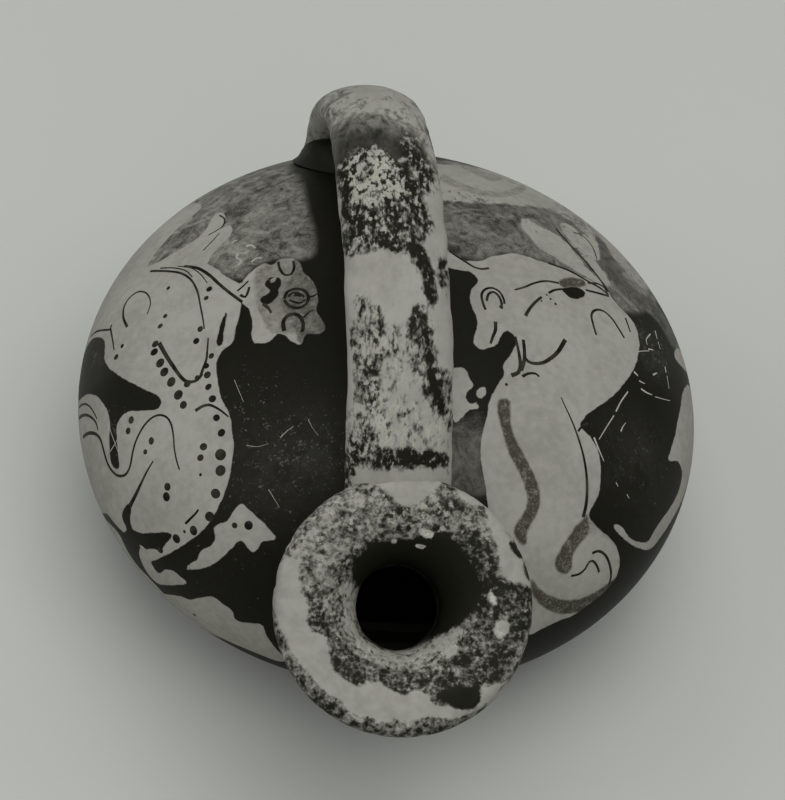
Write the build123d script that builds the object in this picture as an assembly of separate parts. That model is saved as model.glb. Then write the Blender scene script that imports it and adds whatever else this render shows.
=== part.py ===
from build123d import *
from math import atan2, cos, degrees, radians, sin
import os

# Askos: a low closed jug of fired clay, thrown as two bowls luted rim to rim,
# with a slanting spout at the front and a strap handle over the top.
# Millimetres. Origin at the middle of the flat underside, +Z up, spout towards -Y.

# Body
BODY_DIAMETER = 90.0
WIDEST_HEIGHT = 22.5
DOME_RISE = 30.0
SHOULDER_RADIUS = 21.0
BASE_DIAMETER = 64.0
WALL = 4.0
FLOOR = 4.5

# Foot
FOOT_DIAMETER = 56.0
FOOT_HEIGHT = 3.0
FOOT_EDGE = 1.0

# Seam between the two bowls
TONGUE_HEIGHT = 2.5
SEAM_COIL_HEIGHT = 3.0
JOINT_CLEARANCE = 0.1

# Spout
SPOUT_RISE = 55.0
MOUTH_REACH = 6.5
MOUTH_LIFT = 21.0
MOUTH_DIAMETER = 33.2
MOUTH_HEIGHT = 10.0
LIP_THICKNESS = 4.0
LIP_FLAT = 3.5
LIP_EDGE = 1.6
FUNNEL_DEPTH = 8.5
THROAT_DIAMETER = 11.0
NECK_WALL = 3.0
SPIGOT_LENGTH = 2.5
SPOUT_COIL_RADIUS = 2.0

# Handle
HANDLE_WIDTH = 14.0
HANDLE_THICKNESS = 7.2
HANDLE_GAP = 12.0
HANDLE_ROOT_INSET = 10.0
HANDLE_BACK_TURN = 115.0
HANDLE_TUCK = 11.5
HANDLE_YAW = 5.4
HANDLE_COIL_RADIUS = 3.0
WAD_RADIUS = 6.0

# Sizes that follow from the ones above
body_radius = BODY_DIAMETER / 2
base_radius = BASE_DIAMETER / 2
crown_level = WIDEST_HEIGHT + DOME_RISE
tongue_width = WALL / 3
throat_radius = THROAT_DIAMETER / 2
neck_radius = throat_radius + NECK_WALL
spigot_radius = throat_radius + NECK_WALL / 2
socket_radius = spigot_radius + JOINT_CLEARANCE
mouth_radius = MOUTH_DIAMETER / 2
mouth_distance = body_radius + MOUTH_REACH
mouth_level = WIDEST_HEIGHT + MOUTH_LIFT

# The spout's own frame: origin in the middle of the lip, Y up the back, Z out of the mouth
rise = radians(SPOUT_RISE)
spout_frame = Plane(
    origin=(0, -mouth_distance, mouth_level), x_dir=(1, 0, 0), z_dir=(0, -cos(rise), sin(rise))
)
piercing_depth = MOUTH_LIFT / sin(rise)


def turned(*outline):
    """Solid of revolution about Z from the edges of a closed outline in radius and height."""
    return revolve(Plane.XZ * make_face(outline), Axis.Z)


def bar(radius, bottom, top):
    """Round bar about Z between two levels."""
    return Pos(0, 0, bottom) * Cylinder(
        radius, top - bottom, align=(Align.CENTER, Align.CENTER, Align.MIN)
    )


def spout_bar(radius, bottom, top):
    """Round bar on the spout's axis, with levels counted from the lip."""
    return spout_frame * bar(radius, bottom, top)


def egg(radius, dome_rise, shoulder, base, base_level):
    """Filled body form: flat bottom, round side, round shoulder and a flatter round crown."""
    side_run = radius - base
    side_depth = WIDEST_HEIGHT - base_level
    side_radius = (side_run**2 + side_depth**2) / (2 * side_run)
    side_turn = degrees(atan2(side_depth, side_radius - side_run))
    side = CenterArc((radius - side_radius, WIDEST_HEIGHT), side_radius, -side_turn, side_turn)
    inset = radius - shoulder
    crown_radius = (inset**2 + dome_rise**2 - shoulder**2) / (2 * (dome_rise - shoulder))
    join = degrees(atan2(crown_radius - dome_rise, inset))
    round_shoulder = CenterArc((inset, WIDEST_HEIGHT), shoulder, 0, join)
    crown_middle = (0, WIDEST_HEIGHT + dome_rise - crown_radius)
    crown = CenterArc(crown_middle, crown_radius, join, 90 - join)
    middle = Line(crown @ 1, (0, base_level))
    bottom = Line((0, base_level), side @ 0)
    return turned(side, round_shoulder, crown, middle, bottom)


def make_body_form(growth=0.0):
    """Outside of the body, filled, or a form that stands off it by the growth."""
    return egg(
        body_radius + growth,
        DOME_RISE + growth,
        SHOULDER_RADIUS + growth,
        base_radius + growth,
        FOOT_HEIGHT - growth,
    )


def make_cavity():
    """Hollow of the body, one wall inside its outside."""
    return egg(
        body_radius - WALL,
        DOME_RISE - WALL,
        SHOULDER_RADIUS - WALL,
        base_radius - WALL,
        FOOT_HEIGHT + FLOOR,
    )


def make_foot_disc():
    """Turned disc foot with a rounded lower edge."""
    disc = bar(FOOT_DIAMETER / 2, 0, FOOT_HEIGHT)
    return fillet(disc.edges().sort_by(Axis.Z)[0], FOOT_EDGE)


def seam_groove():
    """Square groove round the widest line, a third of the wall deep."""
    section = Pos(body_radius, WIDEST_HEIGHT) * Rectangle(2 * tongue_width, SEAM_COIL_HEIGHT)
    return revolve(Plane.XZ * section, Axis.Z)


def tongue(clearance):
    """Ring that stands up from the lower bowl's rim, a third of the wall thick."""
    inner = body_radius - WALL
    top = WIDEST_HEIGHT + TONGUE_HEIGHT + clearance
    return bar(inner + tongue_width + clearance, WIDEST_HEIGHT, top) - bar(inner, WIDEST_HEIGHT, top)


def make_lower_bowl(shell):
    """Lower half of the shell: floor, wall up to the widest line and the tongue of the seam."""
    half = split(shell, Plane.XY.offset(WIDEST_HEIGHT), keep=Keep.BOTTOM)
    return half - seam_groove() + tongue(0)


def make_upper_dome(shell):
    """Upper half of the shell, rebated for the tongue and pierced for the spout."""
    half = split(shell, Plane.XY.offset(WIDEST_HEIGHT), keep=Keep.TOP)
    piercing = spout_bar(socket_radius, -piercing_depth, 0)
    return half - seam_groove() - tongue(JOINT_CLEARANCE) - piercing


def make_mouth_form():
    """Outside of the mouth, filled: rounded lip over a flare that draws in to the neck."""
    rim = mouth_radius - LIP_EDGE
    flare = EllipticalCenterArc(
        (rim, -MOUTH_HEIGHT), rim - neck_radius, MOUTH_HEIGHT - LIP_THICKNESS, 90, arc_size=90
    )
    edge = ThreePointArc((rim, -LIP_THICKNESS), (mouth_radius, -LIP_THICKNESS / 2), (rim, 0))
    top = Line((rim, 0), (0, 0))
    middle = Line((0, 0), (0, -MOUTH_HEIGHT))
    bottom = Line((0, -MOUTH_HEIGHT), (neck_radius, -MOUTH_HEIGHT))
    return spout_frame * turned(flare, edge, top, middle, bottom)


def funnel():
    """Hollow of the mouth, from the lip's flat down to the throat."""
    brim = mouth_radius - LIP_FLAT
    curve = EllipticalCenterArc(
        (brim, -FUNNEL_DEPTH), brim - throat_radius, FUNNEL_DEPTH, 90, arc_size=90
    )
    top = Line((brim, 0), (0, 0))
    middle = Line((0, 0), (0, -FUNNEL_DEPTH))
    bottom = Line((0, -FUNNEL_DEPTH), (throat_radius, -FUNNEL_DEPTH))
    return spout_frame * turned(curve, top, middle, bottom)


def make_mouth_lip(mouth_form, body_form):
    """Mouth with its funnel, and the spigot that enters the neck."""
    spigot_end = -MOUTH_HEIGHT - SPIGOT_LENGTH
    spigot = spout_bar(spigot_radius, spigot_end, -MOUTH_HEIGHT)
    bore = spout_bar(throat_radius, spigot_end, -FUNNEL_DEPTH)
    return mouth_form - body_form + spigot - funnel() - bore


def make_neck_form(growth=0.0):
    """Outside of the neck, filled, from deep in the body to the lip, or a form that stands off it."""
    return spout_bar(neck_radius + growth, -piercing_depth - neck_radius - growth, growth)


def make_spout_neck(neck_form, mouth_form, body_form):
    """Neck tube, cut to the dome's curve, with a socket for the mouth's spigot."""
    socket_end = -MOUTH_HEIGHT - SPIGOT_LENGTH - JOINT_CLEARANCE
    socket = spout_bar(socket_radius, socket_end, -MOUTH_HEIGHT)
    bore = spout_bar(throat_radius, -piercing_depth - neck_radius, -MOUTH_HEIGHT)
    return neck_form - mouth_form - body_form - bore - socket


def make_strap(growth=0.0):
    """Oval strap, untrimmed, from inside the neck to inside the dome, or a form that stands off it."""
    yaw = radians(HANDLE_YAW)
    upright = Plane(
        origin=(0, -mouth_distance, 0), x_dir=(-sin(yaw), cos(yaw), 0), z_dir=(cos(yaw), sin(yaw), 0)
    )
    half = HANDLE_THICKNESS / 2
    lip_back = Vector(
        mouth_radius * sin(rise) + half * cos(rise),
        mouth_level + mouth_radius * cos(rise) - half * sin(rise),
    )
    apex = Vector(mouth_distance, crown_level + HANDLE_GAP + half)
    climb = apex - lip_back
    slope = 2 * atan2(climb.Y, climb.X)
    heading = Vector(cos(slope), sin(slope))
    front_radius = climb.length**2 / (2 * climb.Y)
    tuck = Line(lip_back - heading * (HANDLE_TUCK + growth), lip_back)
    front = JernArc(lip_back, heading, front_radius, -degrees(slope))
    back = JernArc(front @ 1, (1, 0), body_radius - HANDLE_ROOT_INSET, -HANDLE_BACK_TURN)
    path = upright * Wire([tuck, front, back])
    section_plane = Plane(origin=path @ 0, x_dir=upright.z_dir, z_dir=path % 0)
    return sweep(section_plane * Ellipse(HANDLE_WIDTH / 2 + growth, half + growth), path)


def make_wad_ball(growth=0.0):
    """Ball of clay, untrimmed, behind the neck and under the strap, or a form that stands off it."""
    return spout_frame * Pos(0, neck_radius, -MOUTH_HEIGHT) * Sphere(WAD_RADIUS + growth)


def make_handle_wad(strap, mouth_form, neck_form, body_form):
    """Wad of clay pressed into the corner behind the neck, under the strap."""
    wad = make_wad_ball() - body_form - neck_form - mouth_form - strap
    return wad.solids().sort_by(SortBy.VOLUME)[-1]


def luting(make_host, make_guest, radius):
    """Fillet of soft clay in the corner where a guest stands on its host, just clear of both."""
    host = make_host()
    guest = make_guest()
    corner = fillet(new_edges(host, guest, combined=host + guest), radius)
    return corner - make_host(JOINT_CLEARANCE) - make_guest(JOINT_CLEARANCE)


def make_spout_coil(mouth_form):
    """Luting coil between neck and dome, open at the back where the wad sits."""
    coil = luting(make_body_form, make_neck_form, SPOUT_COIL_RADIUS)
    return coil - mouth_form - make_wad_ball(JOINT_CLEARANCE) - make_strap(JOINT_CLEARANCE)


body_form = make_body_form()
shell = body_form - make_cavity()
mouth_form = make_mouth_form()
neck_form = make_neck_form()
strap = make_strap()

nodes = {
    "foot_disc": make_foot_disc(),
    "lower_bowl": make_lower_bowl(shell),
    "seam_coil": seam_groove() & body_form,
    "upper_dome": make_upper_dome(shell),
    "spout_neck": make_spout_neck(neck_form, mouth_form, body_form),
    "spout_coil": make_spout_coil(mouth_form),
    "mouth_lip": make_mouth_lip(mouth_form, body_form),
    "strap_handle": strap - mouth_form - neck_form - body_form,
    "handle_coil": luting(make_body_form, make_strap, HANDLE_COIL_RADIUS),
    "handle_wad": make_handle_wad(strap, mouth_form, neck_form, body_form),
}

os.makedirs("parts", exist_ok=True)
for name, shape in nodes.items():
    export_step(shape, f"parts/{name}.step")
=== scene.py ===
"""Dresses the askos: a turned body with painted animals, a flared mouth and a strap handle.

The classes work in millimetres, and each finished mesh is scaled to metres.
"""
import logging
from dataclasses import dataclass, field
from enum import Enum
from functools import partial
from math import asin, atan2, cos, hypot, pi, radians, sin
from typing import Any, Callable, NamedTuple, Optional, Sequence, Union

import bmesh
import bpy
import numpy as np
from mathutils import Matrix, Vector, noise


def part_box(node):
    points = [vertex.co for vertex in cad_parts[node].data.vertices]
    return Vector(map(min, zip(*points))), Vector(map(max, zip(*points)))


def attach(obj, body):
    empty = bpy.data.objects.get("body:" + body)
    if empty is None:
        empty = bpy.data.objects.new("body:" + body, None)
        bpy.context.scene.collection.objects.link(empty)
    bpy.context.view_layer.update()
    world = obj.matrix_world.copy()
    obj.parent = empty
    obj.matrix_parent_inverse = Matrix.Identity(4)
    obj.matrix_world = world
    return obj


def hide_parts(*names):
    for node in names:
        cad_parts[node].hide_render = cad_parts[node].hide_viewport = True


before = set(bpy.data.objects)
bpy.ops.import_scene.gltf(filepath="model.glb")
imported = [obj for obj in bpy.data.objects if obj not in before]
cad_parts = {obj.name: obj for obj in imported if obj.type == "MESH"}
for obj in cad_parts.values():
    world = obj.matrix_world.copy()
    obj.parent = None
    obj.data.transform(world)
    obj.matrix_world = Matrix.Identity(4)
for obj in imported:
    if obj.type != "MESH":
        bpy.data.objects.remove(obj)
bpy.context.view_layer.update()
log = logging.getLogger("askos")

MM = 0.001
WELD = 0.001
TINY = 1e-6
SHARP_ANGLE = radians(40.0)

# Distances to an outline are followed this far, in batches of so many places.
FAR = 2.0
BATCH = 4000

# Middle and spread of the shader's cloudy patterns, and the least share of a surface that they cover.
CLOUD_MIDDLE = 0.465
CLOUD_SPREAD = 0.038
LEAST_SHARE = 0.0005

# A turned form is spun as one slice, which is repeated round the axis.
SLICES = 12

# A sight line starts part of the way along and takes so many steps, each a share of the gap that is left.
SIGHT_START = 0.5
SIGHT_STEPS = 60
SIGHT_SHARE = 0.9

# Lumps lose this much weight, and get this much finer, from one octave of a rough pattern to the next.
OCTAVE_FALL = 1.0
OCTAVE_STEP = 2.0

# Settings of shader nodes that smooth a range, or mix colours.
SMOOTH = {"interpolation_type": "SMOOTHSTEP"}
COLOURS = {"data_type": "RGBA"}

# Sockets of the node that mixes colours: the share of the upper one, both colours, and the outcome.
SHARE, UNDER, OVER, MIXED = 0, 6, 7, 2


class Layer(str, Enum):
    """Painted layers, which the meshes carry as attributes."""

    RESERVED = "reserved"
    DILUTE = "dilute"
    # Thinned slip; on the strap's arch it also paints light and shade.
    THIN = "thin"
    WEAR = "wear"
    CRUST = "crust"


class Slot(str, Enum):
    """Material slots of the record."""

    CLAY = "fired_clay"
    SLIP = "black_gloss"


class Node(str, Enum):
    """Kinds of shader node."""

    PLACE = "ShaderNodeTexCoord"
    STRETCH = "ShaderNodeMapping"
    LAYER = "ShaderNodeAttribute"
    NOISE = "ShaderNodeTexNoise"
    MATH = "ShaderNodeMath"
    RANGE = "ShaderNodeMapRange"
    MIX = "ShaderNodeMix"
    BUMP = "ShaderNodeBump"
    SURFACE = "ShaderNodeBsdfPrincipled"
    OUTPUT = "ShaderNodeOutputMaterial"


class Around(NamedTuple):
    """A place on the body that the photograph doesn't show: degrees from the spout, and level."""

    azimuth: float
    level: float


Pixel = tuple[float, float]
Corner = tuple[float, float]
Place = tuple[float, float, float]
Mark = Union[Pixel, Around]
Value = Union[bpy.types.NodeSocket, float]


class Stroke(NamedTuple):
    """A drawn line: the marks it passes, and its width in millimetres where it starts and ends."""

    marks: Sequence[Mark]
    start: float
    end: float


class Patch(NamedTuple):
    """A soft-edged area: its middle, its radius in millimetres and how strong it is."""

    middle: Mark
    radius: float
    amount: float


class Zone(NamedTuple):
    """An outlined area of a worn piece, with the shares of it that lost its slip and that are crusted. On
    the lip and the strap some zones use these shares and the thinning to paint light and shade.
    """

    wear: float
    crust: float
    outline: Sequence[Pixel]
    soft: float = 0.5
    thin: float = 0.0


class Film(NamedTuple):
    """An outlined area of the body, how strongly it is rubbed or stained, and how soft its edge is."""

    amount: float
    marks: Sequence[Mark]
    soft: float = 0.8


class Spot(NamedTuple):
    """A dab of slip: the pixel of its middle, and its radius in pixels."""

    column: float
    row: float
    radius: float


class Pattern(NamedTuple):
    """A cloudy pattern: its size in millimetres, how fine and rough it is, and how far it swirls."""

    size: float
    detail: float = 2.0
    rough: float = 0.5
    swirl: float = 0.0


class Lamp(NamedTuple):
    """A square soft light: its place and its side in metres, and its power in watts."""

    place: Place
    size: float
    power: float


@dataclass(frozen=True)
class Station:
    """Where the photographer stood, found from the vessel's outline in the 785 by 800 photograph."""

    aim: Place = (0.0, 0.0, 22.5)
    azimuth: float = -6.8
    elevation: float = 48.4
    roll: float = 9.3
    distance: float = 360.0
    focal: float = 2463.0
    middle: Pixel = (387.8, 407.5)
    image: tuple[int, int] = (785, 800)
    sensor: float = 36.0
    clip: float = 0.01

    def axes(self) -> np.ndarray:
        """Directions of the photograph.

        Returns:
            Rows that point right, up and back, towards the photographer.
        """
        azimuth = radians(self.azimuth)
        elevation = radians(self.elevation)
        roll = radians(self.roll)
        back = np.array([sin(azimuth) * cos(elevation), -cos(azimuth) * cos(elevation), sin(elevation)])
        right = np.array([cos(azimuth), sin(azimuth), 0.0])
        up = np.cross(back, right)
        return np.array([right * cos(roll) + up * sin(roll), up * cos(roll) - right * sin(roll), back])

    def eye(self) -> np.ndarray:
        """Place of the lens."""
        return np.array(self.aim) + self.axes()[2] * self.distance

    def rays(self, pixels: np.ndarray) -> np.ndarray:
        """Unit sight lines through pixels.

        Args:
            pixels: Columns and rows of the photograph.

        Returns:
            One direction for each pixel.
        """
        across = (pixels[:, 0] - self.middle[0]) / self.focal
        down = (pixels[:, 1] - self.middle[1]) / self.focal
        right, up, back = self.axes()
        lines = np.outer(across, right) - np.outer(down, up) - back
        return lines / np.linalg.norm(lines, axis=1, keepdims=True)

    def project(self, points: np.ndarray) -> np.ndarray:
        """Pixels at which points of the vessel appear.

        Args:
            points: Places in millimetres.

        Returns:
            Columns and rows.
        """
        right, up, back = self.axes()
        sight = points - self.eye()
        depth = -(sight @ back)
        column = self.middle[0] + self.focal * (sight @ right) / depth
        row = self.middle[1] - self.focal * (sight @ up) / depth
        return np.stack([column, row], axis=1)

    def pixels_per_mm(self) -> float:
        """Scale of the photograph in the middle of the vessel."""
        return self.focal / self.distance

    def set_camera(self) -> None:
        """Makes the scene's camera stand here."""
        width, height = self.image
        data = bpy.data.cameras.new("photo_camera")
        data.sensor_width = self.sensor
        data.lens = self.focal / max(self.image) * self.sensor
        data.shift_x = (width / 2 - self.middle[0]) / max(self.image)
        data.shift_y = (self.middle[1] - height / 2) / max(self.image)
        data.clip_start = self.clip
        camera = bpy.data.objects.new("photo_camera", data)
        turn = Matrix(self.axes().tolist()).transposed().to_4x4()
        camera.matrix_world = Matrix.Translation(Vector(self.eye() * MM)) @ turn
        bpy.context.scene.collection.objects.link(camera)
        bpy.context.scene.camera = camera


@dataclass(frozen=True)
class Arc:
    """A round stretch of a turned outline, in radius and level, with angles up from outwards."""

    middle_radius: float
    middle_level: float
    radius: float
    start: float
    end: float

    @property
    def length(self) -> float:
        """Length along the curve."""
        return self.radius * (self.start - self.end)


@dataclass(frozen=True)
class BodyForm:
    """The turned body: a round side, a round shoulder and a flatter crown, all circular arcs."""

    radius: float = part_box("seam_coil")[1][0] / MM
    widest: float = 22.5
    crown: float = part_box("upper_dome")[1][2] / MM
    shoulder: float = 21.0
    base: float = 32.0
    floor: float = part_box("foot_disc")[1][2] / MM
    lean: float = 0.10
    lean_turn: float = 0.6
    ripple: float = 0.05
    ripple_turn: float = -1.1
    ripple_pitch: float = 9.0

    def arcs(self) -> tuple[Arc, Arc, Arc]:
        """Stretches of the outline.

        Returns:
            Crown, shoulder and side, from the top down.
        """
        inset = self.radius - self.shoulder
        rise = self.crown - self.widest
        crown_radius = (inset**2 + rise**2 - self.shoulder**2) / (2 * (rise - self.shoulder))
        join = atan2(crown_radius - rise, inset)
        run = self.radius - self.base
        depth = self.widest - self.floor
        side_radius = (run**2 + depth**2) / (2 * run)
        turn = atan2(depth, side_radius - run)
        return (
            Arc(0.0, self.crown - crown_radius, crown_radius, pi / 2, join),
            Arc(inset, self.widest, self.shoulder, join, 0.0),
            Arc(self.radius - side_radius, self.widest, side_radius, 0.0, -turn),
        )

    def inside(self, wall: float, floor: float) -> "BodyForm":
        """The hollow of the body.

        Args:
            wall: Thickness of the wall.
            floor: Thickness of the floor.

        Returns:
            The form that is one wall inside and one floor up.
        """
        return BodyForm(
            self.radius - wall,
            self.widest,
            self.crown - wall,
            self.shoulder - wall,
            self.base - wall,
            self.floor + floor,
        )

    def run_at(self, level: float) -> float:
        """Length along the outline from the crown down to a level.

        Args:
            level: Height above the table.

        Returns:
            The length in millimetres.
        """
        run = 0.0
        for arc in self.arcs():
            turned = asin(min(1.0, max(-1.0, (level - arc.middle_level) / arc.radius)))
            run += arc.radius * (arc.start - min(arc.start, max(turned, arc.end)))
        return run

    def outline(self, runs: np.ndarray) -> np.ndarray:
        """Radius, level and outward angle at lengths along the outline.

        Args:
            runs: Lengths from the crown.

        Returns:
            One row of radius, level and angle for each length.
        """
        rows = np.zeros((len(runs), 3))
        before = 0.0
        for arc in self.arcs():
            here = runs >= before
            angle = arc.start - (runs[here] - before) / arc.radius
            rows[here, 0] = arc.middle_radius + arc.radius * np.cos(angle)
            rows[here, 1] = arc.middle_level + arc.radius * np.sin(angle)
            rows[here, 2] = angle
            before += arc.length
        return rows

    def locate(self, points: np.ndarray) -> np.ndarray:
        """Unrolls places on the body to a flat chart: length from the crown, in its own direction.

        Args:
            points: Places on or near the surface.

        Returns:
            Chart places in millimetres.
        """
        crown, shoulder, side = self.arcs()
        radius = np.hypot(points[:, 0], points[:, 1])
        level = points[:, 2]
        top = np.arctan2(level - crown.middle_level, radius)
        round_part = np.arctan2(level - shoulder.middle_level, radius - shoulder.middle_radius)
        low = np.arctan2(level - side.middle_level, radius - side.middle_radius)
        run = np.where(
            top >= crown.end,
            crown.radius * (pi / 2 - top),
            crown.length + shoulder.radius * (shoulder.start - round_part),
        )
        below = crown.length + shoulder.length - side.radius * low
        run = np.where(level < self.widest, below, run)
        heading = points[:, :2] / np.maximum(radius, TINY)[:, None]
        return heading * run[:, None]

    def surface(self, chart: np.ndarray) -> tuple[np.ndarray, np.ndarray]:
        """Places and outward normals at chart places.

        Args:
            chart: Chart places in millimetres.

        Returns:
            Places in space and unit normals.
        """
        run = np.linalg.norm(chart, axis=1)
        heading = chart / np.maximum(run, TINY)[:, None]
        radius, level, angle = self.outline(run).T
        points = np.column_stack([heading * radius[:, None], level])
        normals = np.column_stack([heading * np.cos(angle)[:, None], np.sin(angle)])
        return points, normals

    def gap(self, points: np.ndarray) -> np.ndarray:
        """How far places stand off the surface.

        Args:
            points: Places in millimetres.

        Returns:
            Distances, negative inside.
        """
        crown, shoulder, side = self.arcs()
        radius = np.hypot(points[:, 0], points[:, 1])
        level = points[:, 2]
        gaps = [
            np.hypot(radius - arc.middle_radius, level - arc.middle_level) - arc.radius
            for arc in (crown, shoulder, side)
        ]
        on_crown = np.arctan2(level - crown.middle_level, radius) >= crown.end
        return np.where(level < self.widest, gaps[2], np.where(on_crown, gaps[0], gaps[1]))

    def sight(self, station: Station, pixels: Sequence[Pixel]) -> np.ndarray:
        """Chart places at which pixels of the photograph meet the body.

        A pixel just off the outline takes the nearest place on it.

        Args:
            station: Where the photograph was taken.
            pixels: Columns and rows.

        Returns:
            Chart places in millimetres.
        """
        eye = station.eye()
        rays = station.rays(np.array(pixels, dtype=float))
        reach = np.full(len(rays), station.distance * SIGHT_START)
        best = np.full(len(rays), np.inf)
        found = np.zeros_like(rays)
        for _ in range(SIGHT_STEPS):
            points = eye + rays * reach[:, None]
            gap = self.gap(points)
            nearer = gap < best
            best = np.where(nearer, gap, best)
            found[nearer] = points[nearer]
            reach = reach + np.maximum(gap, 0.0) * SIGHT_SHARE
        return self.locate(found)

    def settle(self, points: np.ndarray) -> np.ndarray:
        """Draws places in by a few tenths of a millimetre, as uneven as hands leave a thrown form.

        Args:
            points: Places on the true form.

        Returns:
            Places on the uneven form.
        """
        azimuth = np.arctan2(points[:, 0], -points[:, 1])
        lean = self.lean * (1 + np.sin(2 * azimuth + self.lean_turn))
        swell = 3 * azimuth + self.ripple_turn + points[:, 2] / self.ripple_pitch
        ripple = self.ripple * (1 + np.sin(swell))
        radius = np.maximum(np.hypot(points[:, 0], points[:, 1]), TINY)
        share = np.minimum(radius / self.radius, 1.0)
        moved = points.copy()
        moved[:, :2] *= (1 - (lean + ripple) * share / radius)[:, None]
        return moved


def between(p: np.ndarray, q: np.ndarray, t: np.ndarray, start: float, end: float) -> np.ndarray:
    """Place that is p where t is start, and q where t is end."""
    return p + (q - p) * (t - start) / (end - start)


def smooth_line(points: np.ndarray, closed: bool, spacing: float) -> np.ndarray:
    """Passes an even curve through places.

    Args:
        points: Places to pass, in order.
        closed: Whether the curve comes back to its start.
        spacing: Distance between the places returned.

    Returns:
        Places along the curve.
    """
    if closed:
        padded = np.vstack([points[-1:], points, points[:2]])
    else:
        padded = np.vstack([2 * points[:1] - points[1:2], points, 2 * points[-1:] - points[-2:-1]])
    pieces = []
    for a, b, c, d in zip(padded, padded[1:], padded[2:], padded[3:]):
        # Square roots of the spans keep the curve from swinging out between uneven places.
        spans = [max(np.linalg.norm(q - p), WELD) ** 0.5 for p, q in ((a, b), (b, c), (c, d))]
        first, second, third, fourth = np.cumsum([0.0] + spans)
        count = max(2, int(np.linalg.norm(c - b) / spacing))
        t = np.linspace(second, third, count, endpoint=False)[:, None]
        before = between(a, b, t, first, second)
        middle = between(b, c, t, second, third)
        after = between(c, d, t, third, fourth)
        early = between(before, middle, t, first, third)
        late = between(middle, after, t, second, fourth)
        pieces.append(between(early, late, t, second, third))
    if not closed:
        pieces.append(points[-1:])
    return np.vstack(pieces)


def depth_inside(places: np.ndarray, outline: np.ndarray) -> np.ndarray:
    """How deep places lie inside a closed outline, no further than FAR either way.

    Args:
        places: Flat places to test.
        outline: Corners of the outline, in order.

    Returns:
        Distances to the outline, negative outside.
    """
    depth = np.full(len(places), -FAR)
    low = outline.min(axis=0) - FAR
    high = outline.max(axis=0) + FAR
    near = np.flatnonzero(np.all((places > low) & (places < high), axis=1))
    start = outline
    edge = np.roll(outline, -1, axis=0) - start
    square = np.maximum((edge**2).sum(axis=1), TINY)
    for part in np.array_split(near, len(near) // BATCH + 1):
        offset = places[part][:, None, :] - start[None]
        along = np.clip((offset * edge).sum(axis=2) / square, 0, 1)
        nearest = np.sqrt(((offset - along[..., None] * edge) ** 2).sum(axis=2).min(axis=1))
        rising = offset[..., 1] >= 0
        falling = offset[..., 1] < edge[:, 1]
        crosses = rising == falling
        side = edge[:, 0] * offset[..., 1] - edge[:, 1] * offset[..., 0]
        hit = crosses & (np.where(edge[:, 1] > 0, side, -side) > 0)
        inside = hit.sum(axis=1) % 2 == 1
        depth[part] = np.clip(np.where(inside, nearest, -nearest), -FAR, FAR)
    return depth


def fade(values: np.ndarray, low: float, high: float) -> np.ndarray:
    """Smooth step.

    Args:
        values: Where to take it.
        low: Value that gives 0.
        high: Value that gives 1.

    Returns:
        The step at each value.
    """
    t = np.clip((values - low) / (high - low), 0, 1)
    return t * t * (3 - 2 * t)


def cover(share: np.ndarray) -> np.ndarray:
    """Level that a cloudy pattern of the shader stays under over a share of the surface.

    Args:
        share: Shares from 0 to 1.

    Returns:
        Levels of the pattern.
    """
    share = np.clip(share, LEAST_SHARE, 1 - LEAST_SHARE)
    return CLOUD_MIDDLE + CLOUD_SPREAD * np.log(share / (1 - share))


def lathe(outline: Sequence[Corner], steps: int, closed: bool = False) -> bmesh.types.BMesh:
    """Spins an outline of radius and level round Z.

    Args:
        outline: Radius and level of each corner.
        steps: Number of steps in a full turn, a multiple of SLICES.
        closed: Whether the last corner joins the first.

    Returns:
        A closed turned form in millimetres.
    """
    form = bmesh.new()
    corners = [form.verts.new((radius, 0.0, level)) for radius, level in outline]
    following = corners[1:] + corners[:1] if closed else corners[1:]
    edges = [form.edges.new(pair) for pair in zip(corners, following)]
    about_z = {"axis": (0.0, 0.0, 1.0), "cent": (0.0, 0.0, 0.0)}
    slice_angle = 2 * pi / SLICES
    bmesh.ops.spin(form, geom=corners + edges, angle=slice_angle, steps=steps // SLICES, **about_z)
    whole = form.verts[:] + form.edges[:] + form.faces[:]
    bmesh.ops.spin(
        form, geom=whole, angle=2 * pi - slice_angle, steps=SLICES - 1, use_duplicate=True, **about_z
    )
    bmesh.ops.remove_doubles(form, verts=form.verts, dist=WELD)
    bmesh.ops.recalc_face_normals(form, faces=form.faces)
    return form


def extrude_ring(
    form: bmesh.types.BMesh, edges: Sequence[bmesh.types.BMEdge]
) -> tuple[list[bmesh.types.BMVert], list[bmesh.types.BMEdge]]:
    """Extrudes a ring of edges, with the new ring still in the place of the old one.

    Args:
        form: The form that holds the ring.
        edges: Edges of the ring.

    Returns:
        Corners and edges of the new ring.
    """
    grown = bmesh.ops.extrude_edge_only(form, edges=edges)["geom"]
    corners = [part for part in grown if isinstance(part, bmesh.types.BMVert)]
    fresh = set(corners)
    ring = [part for part in grown if isinstance(part, bmesh.types.BMEdge) and set(part.verts) <= fresh]
    return corners, ring


def join_forms(forms: Sequence[bmesh.types.BMesh]) -> bmesh.types.BMesh:
    """Puts several forms into one.

    Args:
        forms: The forms, which are used up.

    Returns:
        The form that holds them all.
    """
    whole = bmesh.new()
    for form in forms:
        spare = bpy.data.meshes.new("spare")
        form.to_mesh(spare)
        form.free()
        whole.from_mesh(spare)
        bpy.data.meshes.remove(spare)
    return whole


def roughness(points: np.ndarray, size: float, octaves: int) -> np.ndarray:
    """Uneven pattern at places, with lumps of a size in millimetres."""
    rows = (Vector(point) / size for point in points)
    return np.array([noise.fractal(row, OCTAVE_FALL, OCTAVE_STEP, octaves) for row in rows])


def read_points(mesh: bpy.types.Mesh) -> np.ndarray:
    """Corners of a mesh.

    Args:
        mesh: The mesh, still in millimetres.

    Returns:
        One row for each corner.
    """
    flat = np.zeros(len(mesh.vertices) * 3)
    mesh.vertices.foreach_get("co", flat)
    return flat.reshape(-1, 3)


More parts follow.
